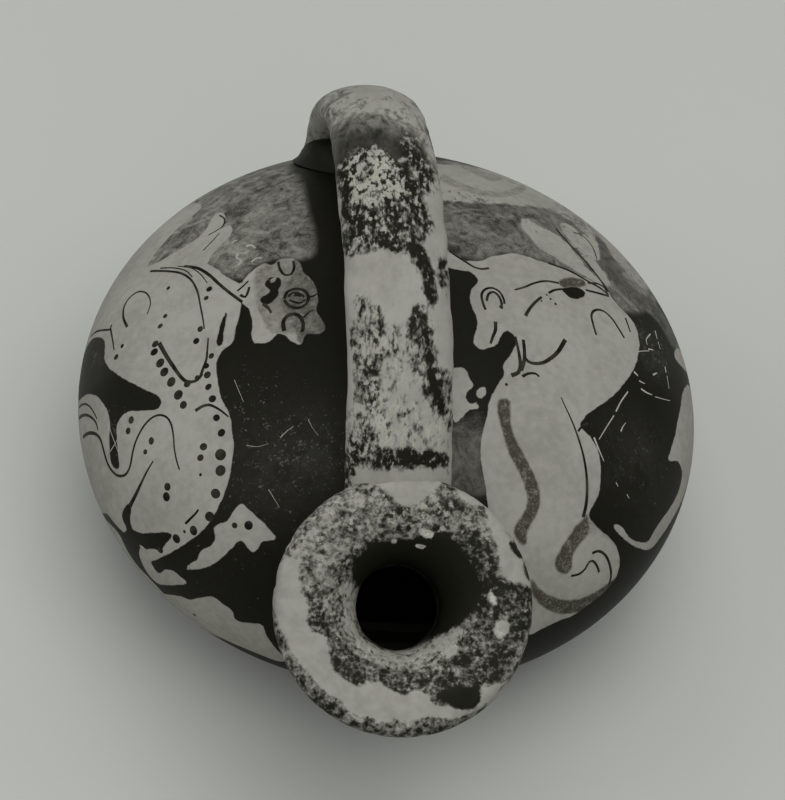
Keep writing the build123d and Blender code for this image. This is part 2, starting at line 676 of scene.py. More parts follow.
def read_normals(mesh: bpy.types.Mesh) -> np.ndarray:
    """Outward directions at the corners of a mesh.

    Args:
        mesh: The mesh.

    Returns:
        One row for each corner.
    """
    flat = np.zeros(len(mesh.vertices) * 3)
    mesh.vertex_normals.foreach_get("vector", flat)
    return flat.reshape(-1, 3)


def shape_mesh(name: str, form: bmesh.types.BMesh) -> bpy.types.Mesh:
    """Turns a form into a smooth mesh with its corners kept sharp.

    Args:
        name: Name of the piece.
        form: The form in millimetres, which is used up.

    Returns:
        The mesh, still in millimetres.
    """
    for edge in form.edges:
        edge.smooth = edge.calc_face_angle(0.0) < SHARP_ANGLE
    for face in form.faces:
        face.smooth = True
    mesh = bpy.data.meshes.new(name)
    form.to_mesh(mesh)
    form.free()
    return mesh


def paint(mesh: bpy.types.Mesh, layer: Layer, values: np.ndarray) -> None:
    """Stores a painted layer on a mesh."""
    attribute = mesh.attributes.new(layer.value, "FLOAT", "POINT")
    attribute.data.foreach_set("value", values.astype(np.float32))


def place_piece(
    mesh: bpy.types.Mesh,
    points: np.ndarray,
    material: bpy.types.Material,
    stands_for: Sequence[str] = (),
) -> bpy.types.Object:
    """Puts a finished mesh on the vessel.

    Args:
        mesh: The mesh, which takes its final places.
        points: Its corners in millimetres.
        material: Its finish.
        stands_for: CAD nodes that the piece replaces.

    Returns:
        The piece.
    """
    mesh.vertices.foreach_set("co", (points * MM).ravel())
    mesh.update()
    mesh.materials.append(material)
    piece = bpy.data.objects.new(mesh.name, mesh)
    bpy.context.scene.collection.objects.link(piece)
    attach(piece, "root")
    if stands_for:
        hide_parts(*stands_for)
    log.info("%s: %d corners, %d faces", piece.name, len(mesh.vertices), len(mesh.polygons))
    return piece


def linear(hex_colour: str) -> tuple[float, float, float, float]:
    """Turns an sRGB colour to linear.

    Args:
        hex_colour: Hex value such as #a89a86.

    Returns:
        Red, green, blue and a full alpha.
    """
    parts = [int(hex_colour[i : i + 2], 16) / 255 for i in (1, 3, 5)]
    r, g, b = (c / 12.92 if c <= 0.04045 else ((c + 0.055) / 1.055) ** 2.4 for c in parts)
    return (r, g, b, 1.0)


def add_node(
    tree: bpy.types.NodeTree,
    kind: Node,
    inputs: Union[Sequence[Any], dict[Any, Any]] = (),
    output: Union[int, str] = 0,
    **settings: Any,
) -> Optional[bpy.types.NodeSocket]:
    """Adds a node with its settings, and links or sets its inputs.

    Args:
        tree: Node tree to add to.
        kind: Kind of the node.
        inputs: Sockets to link or values to set, in the node's own order or by name or number.
        output: Name or number of the output that is wanted.
        settings: Properties of the node.

    Returns:
        That output, or None from a node that has no outputs.
    """
    node = tree.nodes.new(kind.value)
    for name, value in settings.items():
        setattr(node, name, value)
    listed = inputs if isinstance(inputs, dict) else dict(enumerate(inputs))
    for name, value in listed.items():
        if isinstance(value, bpy.types.NodeSocket):
            tree.links.new(value, node.inputs[name])
        else:
            node.inputs[name].default_value = value
    return node.outputs[output] if node.outputs else None


@dataclass(frozen=True)
class Finish:
    """A material of the vessel. Sizes are in millimetres."""

    name: str
    shine: float = field(default=0.045, kw_only=True)
    relief: float = field(default=0.3, kw_only=True)
    relief_depth: float = field(default=0.06, kw_only=True)

    def patterns(self) -> dict[str, Pattern]:
        """The cloudy patterns that the finish is made of."""
        raise NotImplementedError

    def surface(self, node: Callable[..., Value], cloudy: dict[str, Value]) -> tuple[Value, Value, Value]:
        """Colour, roughness and height of the surface.

        Args:
            node: Adds a node to the material.
            cloudy: The patterns, by name.

        Returns:
            Sockets or plain values.
        """
        raise NotImplementedError

    def build(self, stretch: Place = (1.0, 1.0, 1.0)) -> bpy.types.Material:
        """Makes the material.

        Args:
            stretch: How much finer its patterns are along each axis.

        Returns:
            The material, which reads Object coordinates and painted layers.
        """
        material = bpy.data.materials.new(self.name)
        material.use_nodes = True
        material.node_tree.nodes.clear()
        node = partial(add_node, material.node_tree)
        place = node(Node.PLACE, output="Object")
        place = node(Node.STRETCH, {"Vector": place, "Scale": stretch})
        cloudy = {}
        for name, pattern in self.patterns().items():
            cloudy[name] = node(Node.NOISE, {
                "Vector": place,
                "Scale": 1.0 / (pattern.size * MM),
                "Detail": pattern.detail,
                "Roughness": pattern.rough,
                "Distortion": pattern.swirl,
            })
        colour, rough, height = self.surface(node, cloudy)
        normal = node(Node.BUMP, {
            "Height": height,
            "Strength": self.relief,
            "Distance": self.relief_depth * MM,
        })
        shader = node(Node.SURFACE, {
            "Base Color": colour,
            "Roughness": rough,
            "Normal": normal,
            "Specular IOR Level": self.shine,
        })
        node(Node.OUTPUT, {"Surface": shader})
        return material


@dataclass(frozen=True)
class SlippedClay(Finish):
    """Fine clay, thrown and burnished, painted with a gloss of black slip and fired.

    The clay is pale and matt. The slip is a thin, dark, faintly shiny film with a drawn edge, which
    flakes and thins with age, and a dull whitish crust from the ground clings to it.
    """

    clay: str = "#8f8e86"
    clay_shade: str = "#7f7e77"
    slip: str = "#0f0f0a"
    slip_thin: str = "#2a2920"
    dilute: str = "#3a3830"
    crust: str = "#b7b7ac"
    crust_shade: str = "#8a897e"
    edge_size: float = 1.1
    edge_depth: float = 0.22
    edge_soft: float = 0.09
    flake_size: float = 1.6
    flake_soft: float = 0.05
    flake_depth: float = 1.0
    mottle_size: float = 2.4
    speck_size: float = 0.4
    clump_weight: float = 0.5
    crust_size: float = 1.1
    crust_soft: float = 0.06
    grit_size: float = 0.35
    cloud_size: float = 9.0
    wash_soft: float = 0.25
    wash_streaks: tuple[float, float] = (0.2, 1.15)
    rub_weights: tuple[tuple[str, float], ...] = (("cloud", 0.7), ("mottle", 1.1), ("speck", 0.5))
    rub_range: tuple[float, float] = (0.75, 1.55)
    blotch_weight: float = 0.6
    blotch_range: tuple[float, float] = (0.45, 0.8)
    powder_range: tuple[float, float] = (0.35, 0.65)
    film_height: float = 0.5
    grit_height: float = 0.5
    crust_height: float = 0.8
    clay_rough: float = 0.8
    slip_rough: float = 0.45
    crust_rough: float = 0.9
    relief: float = field(default=0.35, kw_only=True)
    relief_depth: float = field(default=0.08, kw_only=True)

    def patterns(self) -> dict[str, Pattern]:
        """Specks, flakes, clouds and brush marks, from the finest grit to whole clouds.

        Returns:
            The patterns by name.
        """
        return {
            "grit": Pattern(self.grit_size, 2.0, 0.5),
            "speck": Pattern(self.speck_size, 4.0, 0.6),
            "edge": Pattern(self.edge_size, 5.0, 0.55),
            "crust": Pattern(self.crust_size, 6.0, 0.62),
            "flake": Pattern(self.flake_size, 6.0, 0.62),
            "mottle": Pattern(self.mottle_size, 6.0, 0.62, swirl=1.2),
            "cloud": Pattern(self.cloud_size, 4.0, 0.6),
        }

    def film(self, node: Callable[..., Value], cloudy: dict[str, Value], bare: Value, lost: Value) -> Value:
        """How much of the slip is left.

        Args:
            node: Adds a node to the material.
            cloudy: The patterns, by name.
            bare: Where the painter left the clay.
            lost: Where the slip flaked off.

        Returns:
            Share of the slip, from 0 to 1.
        """
        # Thinning rubs the slip away; on the strap's arch the same thinning paints light and shade.
        thin = node(Node.LAYER, output="Fac", attribute_name=Layer.THIN.value)
        rubbed = 0.0
        for name, weight in self.rub_weights:
            rubbed = node(Node.MATH, (cloudy[name], weight, rubbed), operation="MULTIPLY_ADD")
        rubbed = node(Node.RANGE, (rubbed, *self.rub_range), **SMOOTH)
        rubbed = node(Node.MATH, (thin, rubbed), operation="MULTIPLY")
        rubbed = node(Node.MATH, (rubbed, 1.0), operation="MINIMUM")
        left = 1.0
        for loss in (bare, lost, rubbed):
            kept = node(Node.MATH, (1.0, loss), operation="SUBTRACT")
            left = node(Node.MATH, (left, kept), operation="MULTIPLY")
        return left

    def surface(self, node: Callable[..., Value], cloudy: dict[str, Value]) -> tuple[Value, Value, Value]:
        """Lays slip on the clay, wears it and crusts it.

        Args:
            node: Adds a node to the material.
            cloudy: The patterns, by name.

        Returns:
            Colour, roughness and height of the surface.
        """
        painted = {
            layer: node(Node.LAYER, output="Fac", attribute_name=layer.value)
            for layer in (Layer.RESERVED, Layer.DILUTE, Layer.WEAR, Layer.CRUST)
        }
        speck, flake = cloudy["speck"], cloudy["flake"]

        # Losses and deposits come in specks and clumps.
        covered = {}
        spreads = ((Layer.WEAR, flake, self.flake_soft), (Layer.CRUST, cloudy["crust"], self.crust_soft))
        for layer, coarse, soft in spreads:
            clump = node(Node.MATH, (coarse, speck), operation="ADD")
            over = node(Node.MATH, (clump, -self.clump_weight, painted[layer]), operation="MULTIPLY_ADD")
            covered[layer] = node(Node.RANGE, (over, -soft, soft), **SMOOTH)
        crust = covered[Layer.CRUST]
        lost = node(Node.MATH, (covered[Layer.WEAR], self.flake_depth), operation="MULTIPLY")

        # The brush leaves drawn edges a little uneven.
        brush = (cloudy["edge"], 2 * self.edge_depth, -self.edge_depth)
        brush = node(Node.MATH, brush, operation="MULTIPLY_ADD")
        edges = {}
        for layer, soft in ((Layer.RESERVED, self.edge_soft), (Layer.DILUTE, self.wash_soft)):
            depth = node(Node.MATH, (painted[layer], brush), operation="ADD")
            edges[layer] = node(Node.RANGE, (depth, -soft, soft), **SMOOTH)
        film = self.film(node, cloudy, edges[Layer.RESERVED], lost)
        streaks = node(Node.MATH, (speck, flake), operation="ADD")
        streaks = node(Node.RANGE, (streaks, *self.wash_streaks), **SMOOTH)
        wash = node(Node.MATH, (edges[Layer.DILUTE], streaks), operation="MULTIPLY")

        blotch = node(Node.MATH, (flake, cloudy["cloud"]), operation="ADD")
        blotch = node(Node.MATH, (blotch, self.blotch_weight), operation="MULTIPLY")
        blotch = node(Node.RANGE, (blotch, *self.blotch_range), **SMOOTH)
        worn = node(Node.MATH, (painted[Layer.WEAR], flake), operation="MULTIPLY")
        powder = node(Node.RANGE, (speck, *self.powder_range), **SMOOTH)
        tints = []
        for share, under, over in (
            (blotch, self.clay, self.clay_shade),
            (worn, self.slip, self.slip_thin),
            (powder, self.crust_shade, self.crust),
        ):
            tones = {SHARE: share, UNDER: linear(under), OVER: linear(over)}
            tints.append(node(Node.MIX, tones, MIXED, **COLOURS))
        colour, slip, dust = tints
        for share, over in ((wash, linear(self.dilute)), (film, slip), (crust, dust)):
            colour = node(Node.MIX, {SHARE: share, UNDER: colour, OVER: over}, MIXED, **COLOURS)

        gloss = (film, self.slip_rough - self.clay_rough, self.clay_rough)
        rough = node(Node.MATH, gloss, operation="MULTIPLY_ADD")
        dull = node(Node.MATH, (crust, self.crust_rough), operation="MULTIPLY")
        rough = node(Node.MATH, (rough, dull), operation="MAXIMUM")
        height = 0.0
        parts = ((film, self.film_height), (cloudy["grit"], self.grit_height), (crust, self.crust_height))
        for part, weight in parts:
            height = node(Node.MATH, (part, weight, height), operation="MULTIPLY_ADD")
        return colour, rough, height


@dataclass(frozen=True)
class PlainCoat(Finish):
    """One even coat: brushed slip, or bare clay as the fire left it.

    Slip gives a dark, faint shine with thin places; bare clay is matt, cloudy and gritty.
    """

    colour: str
    shade: str
    rough: float
    cloud_size: float = 5.0
    cloud_range: tuple[float, float] = (0.4, 0.75)
    grit_size: float = 0.35

    def patterns(self) -> dict[str, Pattern]:
        """Clouds of tone and fine grit."""
        return {"cloud": Pattern(self.cloud_size, 5.0), "grit": Pattern(self.grit_size)}

    def surface(self, node: Callable[..., Value], cloudy: dict[str, Value]) -> tuple[Value, Value, Value]:
        """Mixes the two tones.

        Args:
            node: Adds a node to the material.
            cloudy: The patterns, by name.

        Returns:
            Colour, roughness and height of the surface.
        """
        share = node(Node.RANGE, (cloudy["cloud"], *self.cloud_range))
        tones = {SHARE: share, UNDER: linear(self.colour), OVER: linear(self.shade)}
        return node(Node.MIX, tones, MIXED, **COLOURS), self.rough, cloudy["grit"]


@dataclass(frozen=True)
class SpoutForm:
    """The spout's own frame and the turned outline of its mouth.

    The curves of funnel and flare are given corners by their length, a multiple of their depth.
    """

    body: BodyForm
    rise: float = 55.0
    reach: float = 6.5
    lift: float = 21.0
    radius: float = 16.6
    height: float = 10.0
    lip: float = 4.0
    flat: float = 3.5
    edge: float = 1.6
    funnel: float = 8.5
    throat: float = 5.5
    neck: float = 8.5
    spigot: float = 7.0
    spigot_length: float = 2.5
    funnel_curve: float = 1.5
    flare_curve: float = 1.6

    def frame(self) -> Matrix:
        """Place of the spout.

        Returns:
            What turns the mouth's axis from Z to its place, with Y up the back of the lip.
        """
        tilt = radians(90.0 - self.rise)
        middle = Vector((0.0, -self.body.radius - self.reach, self.body.widest + self.lift))
        return Matrix.Translation(middle) @ Matrix.Rotation(tilt, 4, "X")

    def outline(self, spacing: float) -> list[Corner]:
        """Radius and level round the wall of the mouth.

        Args:
            spacing: Distance between corners.

        Returns:
            A closed outline, from the foot of the throat up the inside and down the outside.
        """
        rim = self.radius - self.edge
        brim = self.radius - self.flat
        count = int(self.funnel * self.funnel_curve / spacing)
        inside = [
            (brim - (brim - self.throat) * cos(t), -self.funnel + self.funnel * sin(t))
            for t in np.linspace(0, pi / 2, count)
        ]
        half = self.lip / 2
        bulge = (self.edge**2 + half**2) / (2 * self.edge)
        turn = atan2(half, bulge - self.edge)
        round_edge = [
            (self.radius - bulge + bulge * cos(t), -half + bulge * sin(t))
            for t in np.linspace(turn, -turn, int(2 * turn * bulge / spacing))
        ]
        drop = self.height - self.lip
        flare = [
            (rim - (rim - self.neck) * sin(t), -self.height + drop * cos(t))
            for t in np.linspace(0, pi / 2, int(drop * self.flare_curve / spacing))
        ]
        end = -self.height - self.spigot_length
        foot = [(self.spigot, -self.height), (self.spigot, end), (self.throat, end)]
        flat = [(r, 0.0) for r in np.linspace(brim, rim, int((rim - brim) / spacing) + 2)[1:-1]]
        return inside + flat + round_edge + flare[1:] + foot


@dataclass(frozen=True)
class StrapForm:
    """The strap: an oval section that climbs from behind the lip, arches over and drops to the dome."""

    spout: SpoutForm
    width: float = 14.0
    thickness: float = 7.2
    gap: float = 12.0
    root_inset: float = 10.0
    back_turn: float = 95.0
    tuck: float = 11.5
    root_depth: float = 7.9
    yaw: float = 5.4
    sides: int = 72
    spacing: float = 0.55

    def build(self) -> bmesh.types.BMesh:
        """Spins the oval section along the arch.

        Returns:
            The closed strap in millimetres.
        """
        body = self.spout.body
        rise = radians(self.spout.rise)
        half = self.thickness / 2
        mouth = body.radius + self.spout.reach
        level = body.widest + self.spout.lift
        start = (
            self.spout.radius * sin(rise) + half * cos(rise),
            level + self.spout.radius * cos(rise) - half * sin(rise),
        )
        apex = (mouth, body.crown + self.gap + half)
        climb = (apex[0] - start[0], apex[1] - start[1])
        slope = 2 * atan2(climb[1], climb[0])
        front_radius = hypot(*climb) ** 2 / (2 * climb[1])
        back_radius = body.radius - self.root_inset
        heading = Vector((0.0, cos(slope), sin(slope)))
        form = bmesh.new()
        ring = bmesh.ops.create_circle(form, segments=self.sides, radius=1.0)["verts"]
        section = Matrix((
            (self.width / 2, 0.0, 0.0, 0.0),
            (0.0, -sin(slope) * half, cos(slope), start[0] - heading.y * self.tuck),
            (0.0, cos(slope) * half, sin(slope), start[1] - heading.z * self.tuck),
            (0.0, 0.0, 0.0, 1.0),
        ))
        bmesh.ops.transform(form, matrix=section, verts=ring)
        moved, ahead = extrude_ring(form, form.edges[:])
        bmesh.ops.translate(form, vec=heading * self.tuck, verts=moved)
        last = moved + ahead
        turns = (
            (apex[0], apex[1] - front_radius, slope, front_radius),
            (apex[0], apex[1] - back_radius, radians(self.back_turn), back_radius),
        )
        for across, up, turn, radius in turns:
            last = bmesh.ops.spin(
                form,
                geom=last,
                cent=(0.0, across, up),
                axis=(1.0, 0.0, 0.0),
                angle=-turn,
                steps=int(turn * radius / self.spacing),
            )["geom_last"]
        across_mouth = Vector((0.0, sin(rise), cos(rise)))
        bmesh.ops.bisect_plane(
            form,
            geom=form.verts[:] + form.edges[:] + form.faces[:],
            plane_co=Vector((0.0, 0.0, level)) + across_mouth * self.root_depth,
            plane_no=across_mouth,
            clear_inner=True,
        )
        bmesh.ops.holes_fill(form, edges=form.edges[:])
        bmesh.ops.recalc_face_normals(form, faces=form.faces)
        swing = Matrix.Translation((0.0, -mouth, 0.0)) @ Matrix.Rotation(radians(self.yaw), 4, "Z")
        bmesh.ops.transform(form, matrix=swing, verts=form.verts)
        return form


@dataclass
class Body:
    """The painted body: the dome, the seam's coil and the bowl under it."""

    form: BodyForm
    spout: SpoutForm
    wall: float = 4.0
    floor: float = 4.5
    tongue: float = 2.5
    coil: float = 3.0
    clearance: float = 0.1
    hole: float = 7.2
    hole_depth: float = 30.0
    steps: int = 540
    fine: float = 0.5
    coarse: float = 2.0
    bare_crown: float = 12.0

    @property
    def step(self) -> float:
        """Depth of each step of the seam, a third of the wall."""
        return self.wall / 3

    def runs(self, form: BodyForm, start: float, end: float, spacing: float) -> list[Corner]:
        """Corners of an outline between two lengths from the crown."""
        count = max(2, int(abs(end - start) / spacing) + 1)
        return [(r, z) for r, z, _ in form.outline(np.linspace(start, end, count))]

    def dome_form(self) -> bmesh.types.BMesh:
        """The upper bowl, turned over.

        Returns:
            Outside, rebated rim and inside, pierced for the spout.
        """
        top = self.form.widest + self.coil / 2
        inner = self.form.inside(self.wall, self.floor)
        groove = self.form.radius - self.step
        rebate = inner.radius + self.step + self.clearance
        level = self.form.widest + self.tongue + self.clearance
        outline = (
            self.runs(self.form, 0.0, self.bare_crown, self.coarse)[:-1]
            + self.runs(self.form, self.bare_crown, self.form.run_at(top), self.fine)
            + [(groove, top), (groove, self.form.widest), (rebate, self.form.widest), (rebate, level)]
            + self.runs(inner, inner.run_at(level), 0.0, self.coarse)
        )
        dome = lathe(outline, self.steps)
        to_spout = self.spout.frame().inverted()
        pierced = []
        for face in dome.faces:
            place = to_spout @ face.calc_center_median()
            if hypot(place.x, place.y) < self.hole and -self.hole_depth < place.z < 0.0:
                pierced.append(face)
        bmesh.ops.delete(dome, geom=pierced, context="FACES")
        bmesh.ops.bridge_loops(dome, edges=[edge for edge in dome.edges if edge.is_boundary])
        return dome

    def bowl_form(self) -> bmesh.types.BMesh:
        """The lower bowl.

        Returns:
            Outside, flat bottom, inside and the tongue at its rim.
        """
        low = self.form.widest - self.coil / 2
        inner = self.form.inside(self.wall, self.floor)
        groove = self.form.radius - self.step
        tongue = inner.radius + self.step
        level = self.form.widest + self.tongue
        outline = (
            self.runs(self.form, self.form.run_at(low), self.form.run_at(self.form.floor), self.fine)
            + [(0.0, self.form.floor)]
        )
        inside = (
            [(0.0, inner.floor)]
            + self.runs(inner, inner.run_at(inner.floor), inner.run_at(self.form.widest), self.coarse)
            + [(inner.radius, level), (tongue, level), (tongue, self.form.widest)]
            + [(groove, self.form.widest), (groove, low)]
        )
        bowl = join_forms([lathe(outline, self.steps), lathe(inside, self.steps)])
        bmesh.ops.bridge_loops(bowl, edges=[edge for edge in bowl.edges if edge.is_boundary])
        bmesh.ops.recalc_face_normals(bowl, faces=bowl.faces)
        return bowl

    def coil_form(self) -> bmesh.types.BMesh:
        """The seam's coil.

        Returns:
            A band pressed into the groove, flush with the body.
        """
        half = self.coil / 2
        groove = self.form.radius - self.step
        top = self.form.run_at(self.form.widest + half)
        low = self.form.run_at(self.form.widest - half)
        outline = self.runs(self.form, top, low, self.fine)
        outline += [(groove, self.form.widest - half), (groove, self.form.widest + half)]
        return lathe(outline, self.steps, closed=True)

    def build(self, material: bpy.types.Material, picture: "Picture") -> None:
        """Makes the three pieces and paints them.

        Args:
            material: Their finish.
            picture: What is painted on them.
        """
        forms = {
            "upper_dome": self.dome_form(),
            "seam_coil": self.coil_form(),
            "lower_bowl": self.bowl_form(),
        }
        for node, form in forms.items():
            mesh = shape_mesh("painted_" + node, form)
            points = read_points(mesh)
            picture.lay(mesh, points)
            place_piece(mesh, self.form.settle(points), material, [node])


@dataclass
class Picture:
    """The two animals and the wear on the body, drawn by marks of the photograph.

    Each outline runs round its shape. Marks that the photograph can't show are given as Around.
    """

    form: BodyForm
    station: Station
    spacing: float = 0.5
    skin: float = 0.5
    stray_wear: float = 0.003

    reserved: dict[str, Sequence[Mark]] = field(default_factory=lambda: {
        "left_animal": (
            (155, 263), (180, 262), (200, 262), (214, 267), (226, 277), (238, 283), (243, 290), (241, 302),
            (239, 316), (235, 330), (234, 340), (228, 346), (221, 352), (217, 360), (216, 369), (217, 379),
            (219, 391), (221, 400), (226, 408), (230, 418), (232, 433), (233, 447), (231, 466), (227, 485),
            (221, 500), (214, 515), (205, 528), (195, 537), (182, 546), (168, 554), (152, 561), (143, 561),
            (140, 554), (141, 547), (135, 540), (126, 534), (117, 526), (108, 515), Around(-66, 16),
            Around(-72, 13.5), Around(-80, 15.5), Around(-90, 18), Around(-104, 23), Around(-116, 29),
            Around(-124, 33), Around(-129, 36), (200, 207), (190, 217), (176, 229), (162, 244), (151, 258),
            (148, 266),
        ),
        "left_head": (
            (240, 292), (243, 281), (252, 271), (265, 263), (272, 266), (278, 260), (290, 258), (299, 262),
            (303, 272), (312, 281), (317, 292), (318, 302), (316, 310), (321, 319), (325, 329), (319, 334),
            (306, 334), (301, 345), (292, 342), (284, 335), (276, 334), (271, 341), (254, 343), (251, 335),
            (252, 325), (251, 315), (246, 306), (241, 301),
        ),
        "tail_tuft": (
            (241, 504), (248, 510), (258, 519), (268, 529), (276, 540), (268, 541), (261, 543), (257, 550),
            (252, 553), (247, 549), (244, 543), (240, 541), (233, 547), (226, 554), (218, 561), (208, 567),
            (196, 570), (184, 569), (190, 564), (197, 560), (199, 553), (204, 549), (212, 545), (215, 537),
            (213, 528), (220, 524), (227, 521), (233, 512),
        ),
        "left_foot": (
            (141, 548), (150, 562), (158, 573), (165, 570), (173, 571), (180, 577), (187, 583), (176, 585),
            (165, 585), (157, 583), (148, 574), (142, 563), (139, 553),
        ),
        "left_ground": (
            (160, 597), (178, 596), (190, 600), (200, 598), (212, 597), (222, 604), (232, 612), (235, 620),
            (243, 623), (255, 624), (262, 626), (266, 636), (275, 649), (287, 661), (278, 662), (262, 656),
            (245, 649), (225, 640), (205, 630), (192, 622), (180, 614), (168, 604),
        ),
        "tail": (
            (152, 266), (163, 259), (185, 246), (198, 237), (207, 227), (211, 218), (217, 212), (223, 213),
            (225, 219), (221, 226), (217, 232), (222, 228), (228, 225), (232, 229), (229, 236), (222, 244),
            (211, 255), (206, 264), (190, 266), (170, 267),
        ),
        "bald_patch": (
            (452, 370), (457, 368), (466, 369), (469, 378), (474, 386), (467, 393), (466, 400), (472, 405),
            (477, 403), (479, 409), (470, 410), (463, 417), (456, 423), (450, 415),
        ),
        "bald_dot": ((477, 391), (484, 387), (487, 391), (482, 399), (477, 397)),
        "right_animal": (
            (437, 247), (447, 250), (460, 257), (471, 263), (480, 261), (490, 257), (502, 255), (513, 253),
            (526, 256), (540, 261), (554, 265), (572, 272), (590, 280), (606, 289), (614, 300), (622, 309),
            (629, 316), (635, 324), (639, 336), (640, 348), (638, 360), (634, 370), (628, 380), (619, 391),
            (609, 400), (598, 408), (587, 416), (581, 427), (590, 436), (597, 447), (601, 460), (601, 485),
            (598, 499), (593, 507), (590, 517), (600, 530), (612, 540), (619, 552), (620, 568), (616, 580),
            (601, 597), (588, 607), (575, 616), (560, 622), (545, 629), (530, 636), (512, 622), (500, 590),
            (492, 540), (486, 487), (482, 466), (481, 450), (483, 434), (487, 418), (490, 402), (496, 389),
            (501, 381), (505, 375), (504, 366), (509, 358), (514, 350), (517, 343), (514, 335), (508, 331),
            (502, 335), (498, 344), (490, 348), (481, 350), (474, 343), (477, 330), (478, 320), (473, 309),
            (470, 298), (473, 288), (479, 281), (475, 273), (460, 270), (448, 268), (436, 262),
        ),
        "right_rim_wear": (
            (669, 460), (680, 463), (683, 475), (680, 490), (673, 505), (664, 518), (656, 530), (650, 541),
            (641, 543), (630, 538), (622, 527), (614, 526), (619, 534), (628, 542), (640, 549), (652, 549),
            (664, 534), (675, 516), (684, 497), (689, 480), (693, 462), (698, 440), (700, 415), (698, 398),
            (690, 386), (684, 392), (682, 405), (679, 420), (676, 436), (672, 450),
        ),
        "right_chip": ((676, 350), (684, 353), (692, 364), (690, 372), (682, 366), (676, 358)),
        "left_edge_line": (
            (114, 528), (120, 536), (128, 552), (136, 564), (148, 577), (161, 591), (168, 599),
            Around(-42, 11), Around(-49, 11.5), Around(-55, 12.8), Around(-60, 14.2), Around(-64, 15.8),
        ),
    })
    black: dict[str, Sequence[Mark]] = field(default_factory=lambda: {
        "left_notch": (
            Around(-113, 30), (80, 352), (92, 339), (103, 339), (105, 347), (104, 357), (108, 367),
            (118, 375), (132, 383), (146, 390), (156, 395), (161, 401), (160, 407), (154, 410), (140, 411),
            (128, 412), (121, 417), (117, 425), (117, 440), (118, 455), (119, 468), (112, 466), (110, 455),
            (109, 440), (110, 425), (108, 412), (103, 403), (96, 396), (88, 394), (78, 398),
            Around(-112, 25),
        ),
        "left_wedge": (
            (226, 312), (221, 322), (218, 333), (216, 345), (221, 346), (223, 339), (224, 329), (226, 319),
        ),
        "left_heel": (
            (128, 504), (124, 508), (122, 516), (124, 523), (127, 529), (124, 534), (132, 541), (142, 546),
            (145, 549), (155, 549), (160, 552), (166, 543), (172, 536), (168, 533), (152, 533), (140, 533),
            (132, 528), (130, 520), (131, 512), (131, 506),
        ),
        "left_nose": (
            (265, 283), (268, 278), (274, 277), (280, 279), (281, 285), (278, 290), (279, 294), (275, 299),
            (271, 303), (265, 305), (260, 301), (261, 297), (267, 295), (270, 290), (266, 287),
        ),
        "right_beard": (
            (562, 289), (570, 287), (580, 288), (586, 293), (583, 297), (575, 299), (568, 296), (564, 292),
        ),
    })
    pale: dict[str, Sequence[Mark]] = field(default_factory=lambda: {
        "left_nose_light": ((270, 280), (273, 277), (276, 279), (274, 282), (272, 284)),
    })
    dilute: dict[str, Sequence[Mark]] = field(default_factory=lambda: {
        "right_brow": ((559, 281), (566, 278), (576, 278), (585, 281), (585, 286), (572, 287), (562, 287)),
        "right_foreleg": (
            (499, 401), (510, 400), (511, 415), (512, 428), (518, 443), (525, 456), (532, 469), (538, 484),
            (541, 500), (539, 512), (533, 523), (528, 532), (527, 545), (522, 546), (514, 533), (518, 523),
            (525, 512), (528, 500), (525, 487), (518, 470), (510, 455), (505, 440), (501, 425), (498, 412),
        ),
        "right_heel": (
            (588, 513), (590, 526), (588, 536), (580, 546), (573, 558), (573, 569), (567, 575), (558, 572),
            (556, 561), (562, 549), (570, 537), (577, 526), (584, 520),
        ),
        "right_sole": (
            (531, 580), (543, 592), (560, 600), (580, 600), (598, 592), (612, 582), (620, 577), (614, 591),
            (600, 604), (580, 613), (560, 615), (545, 609), (534, 597),
        ),
    })
    smudges: dict[str, Film] = field(default_factory=lambda: {
        "left_face": Film(-0.02, (
            (252, 268), (270, 258), (292, 255), (306, 276), (318, 298), (322, 318), (305, 338), (285, 338),
            (266, 336), (256, 318), (250, 294),
        )),
        "left_cheek": Film(0.08, (
            (294, 257), (304, 262), (310, 275), (320, 284), (324, 298), (323, 310), (330, 324), (326, 338),
            (309, 338), (303, 348), (295, 342), (289, 324), (281, 313), (279, 297), (286, 281),
        ), 0.5),
        "right_heel_shade": Film(-0.10, (
            (590, 514), (600, 520), (612, 530), (622, 542), (618, 552), (608, 546), (598, 540), (588, 538),
        )),
        "crown_ring": Film(-0.07, (
            (438, 180), (454, 188), (472, 194), (492, 198), (514, 197), (528, 190), (522, 184), (508, 189),
            (492, 190), (474, 186), (458, 180), (444, 172),
        ), 0.3),
        "crown_eye": Film(-0.07, (
            (458, 165), (470, 172), (482, 178), (496, 182), (505, 178), (496, 174), (484, 171), (474, 166),
            (466, 162),
        ), 0.3),
    })
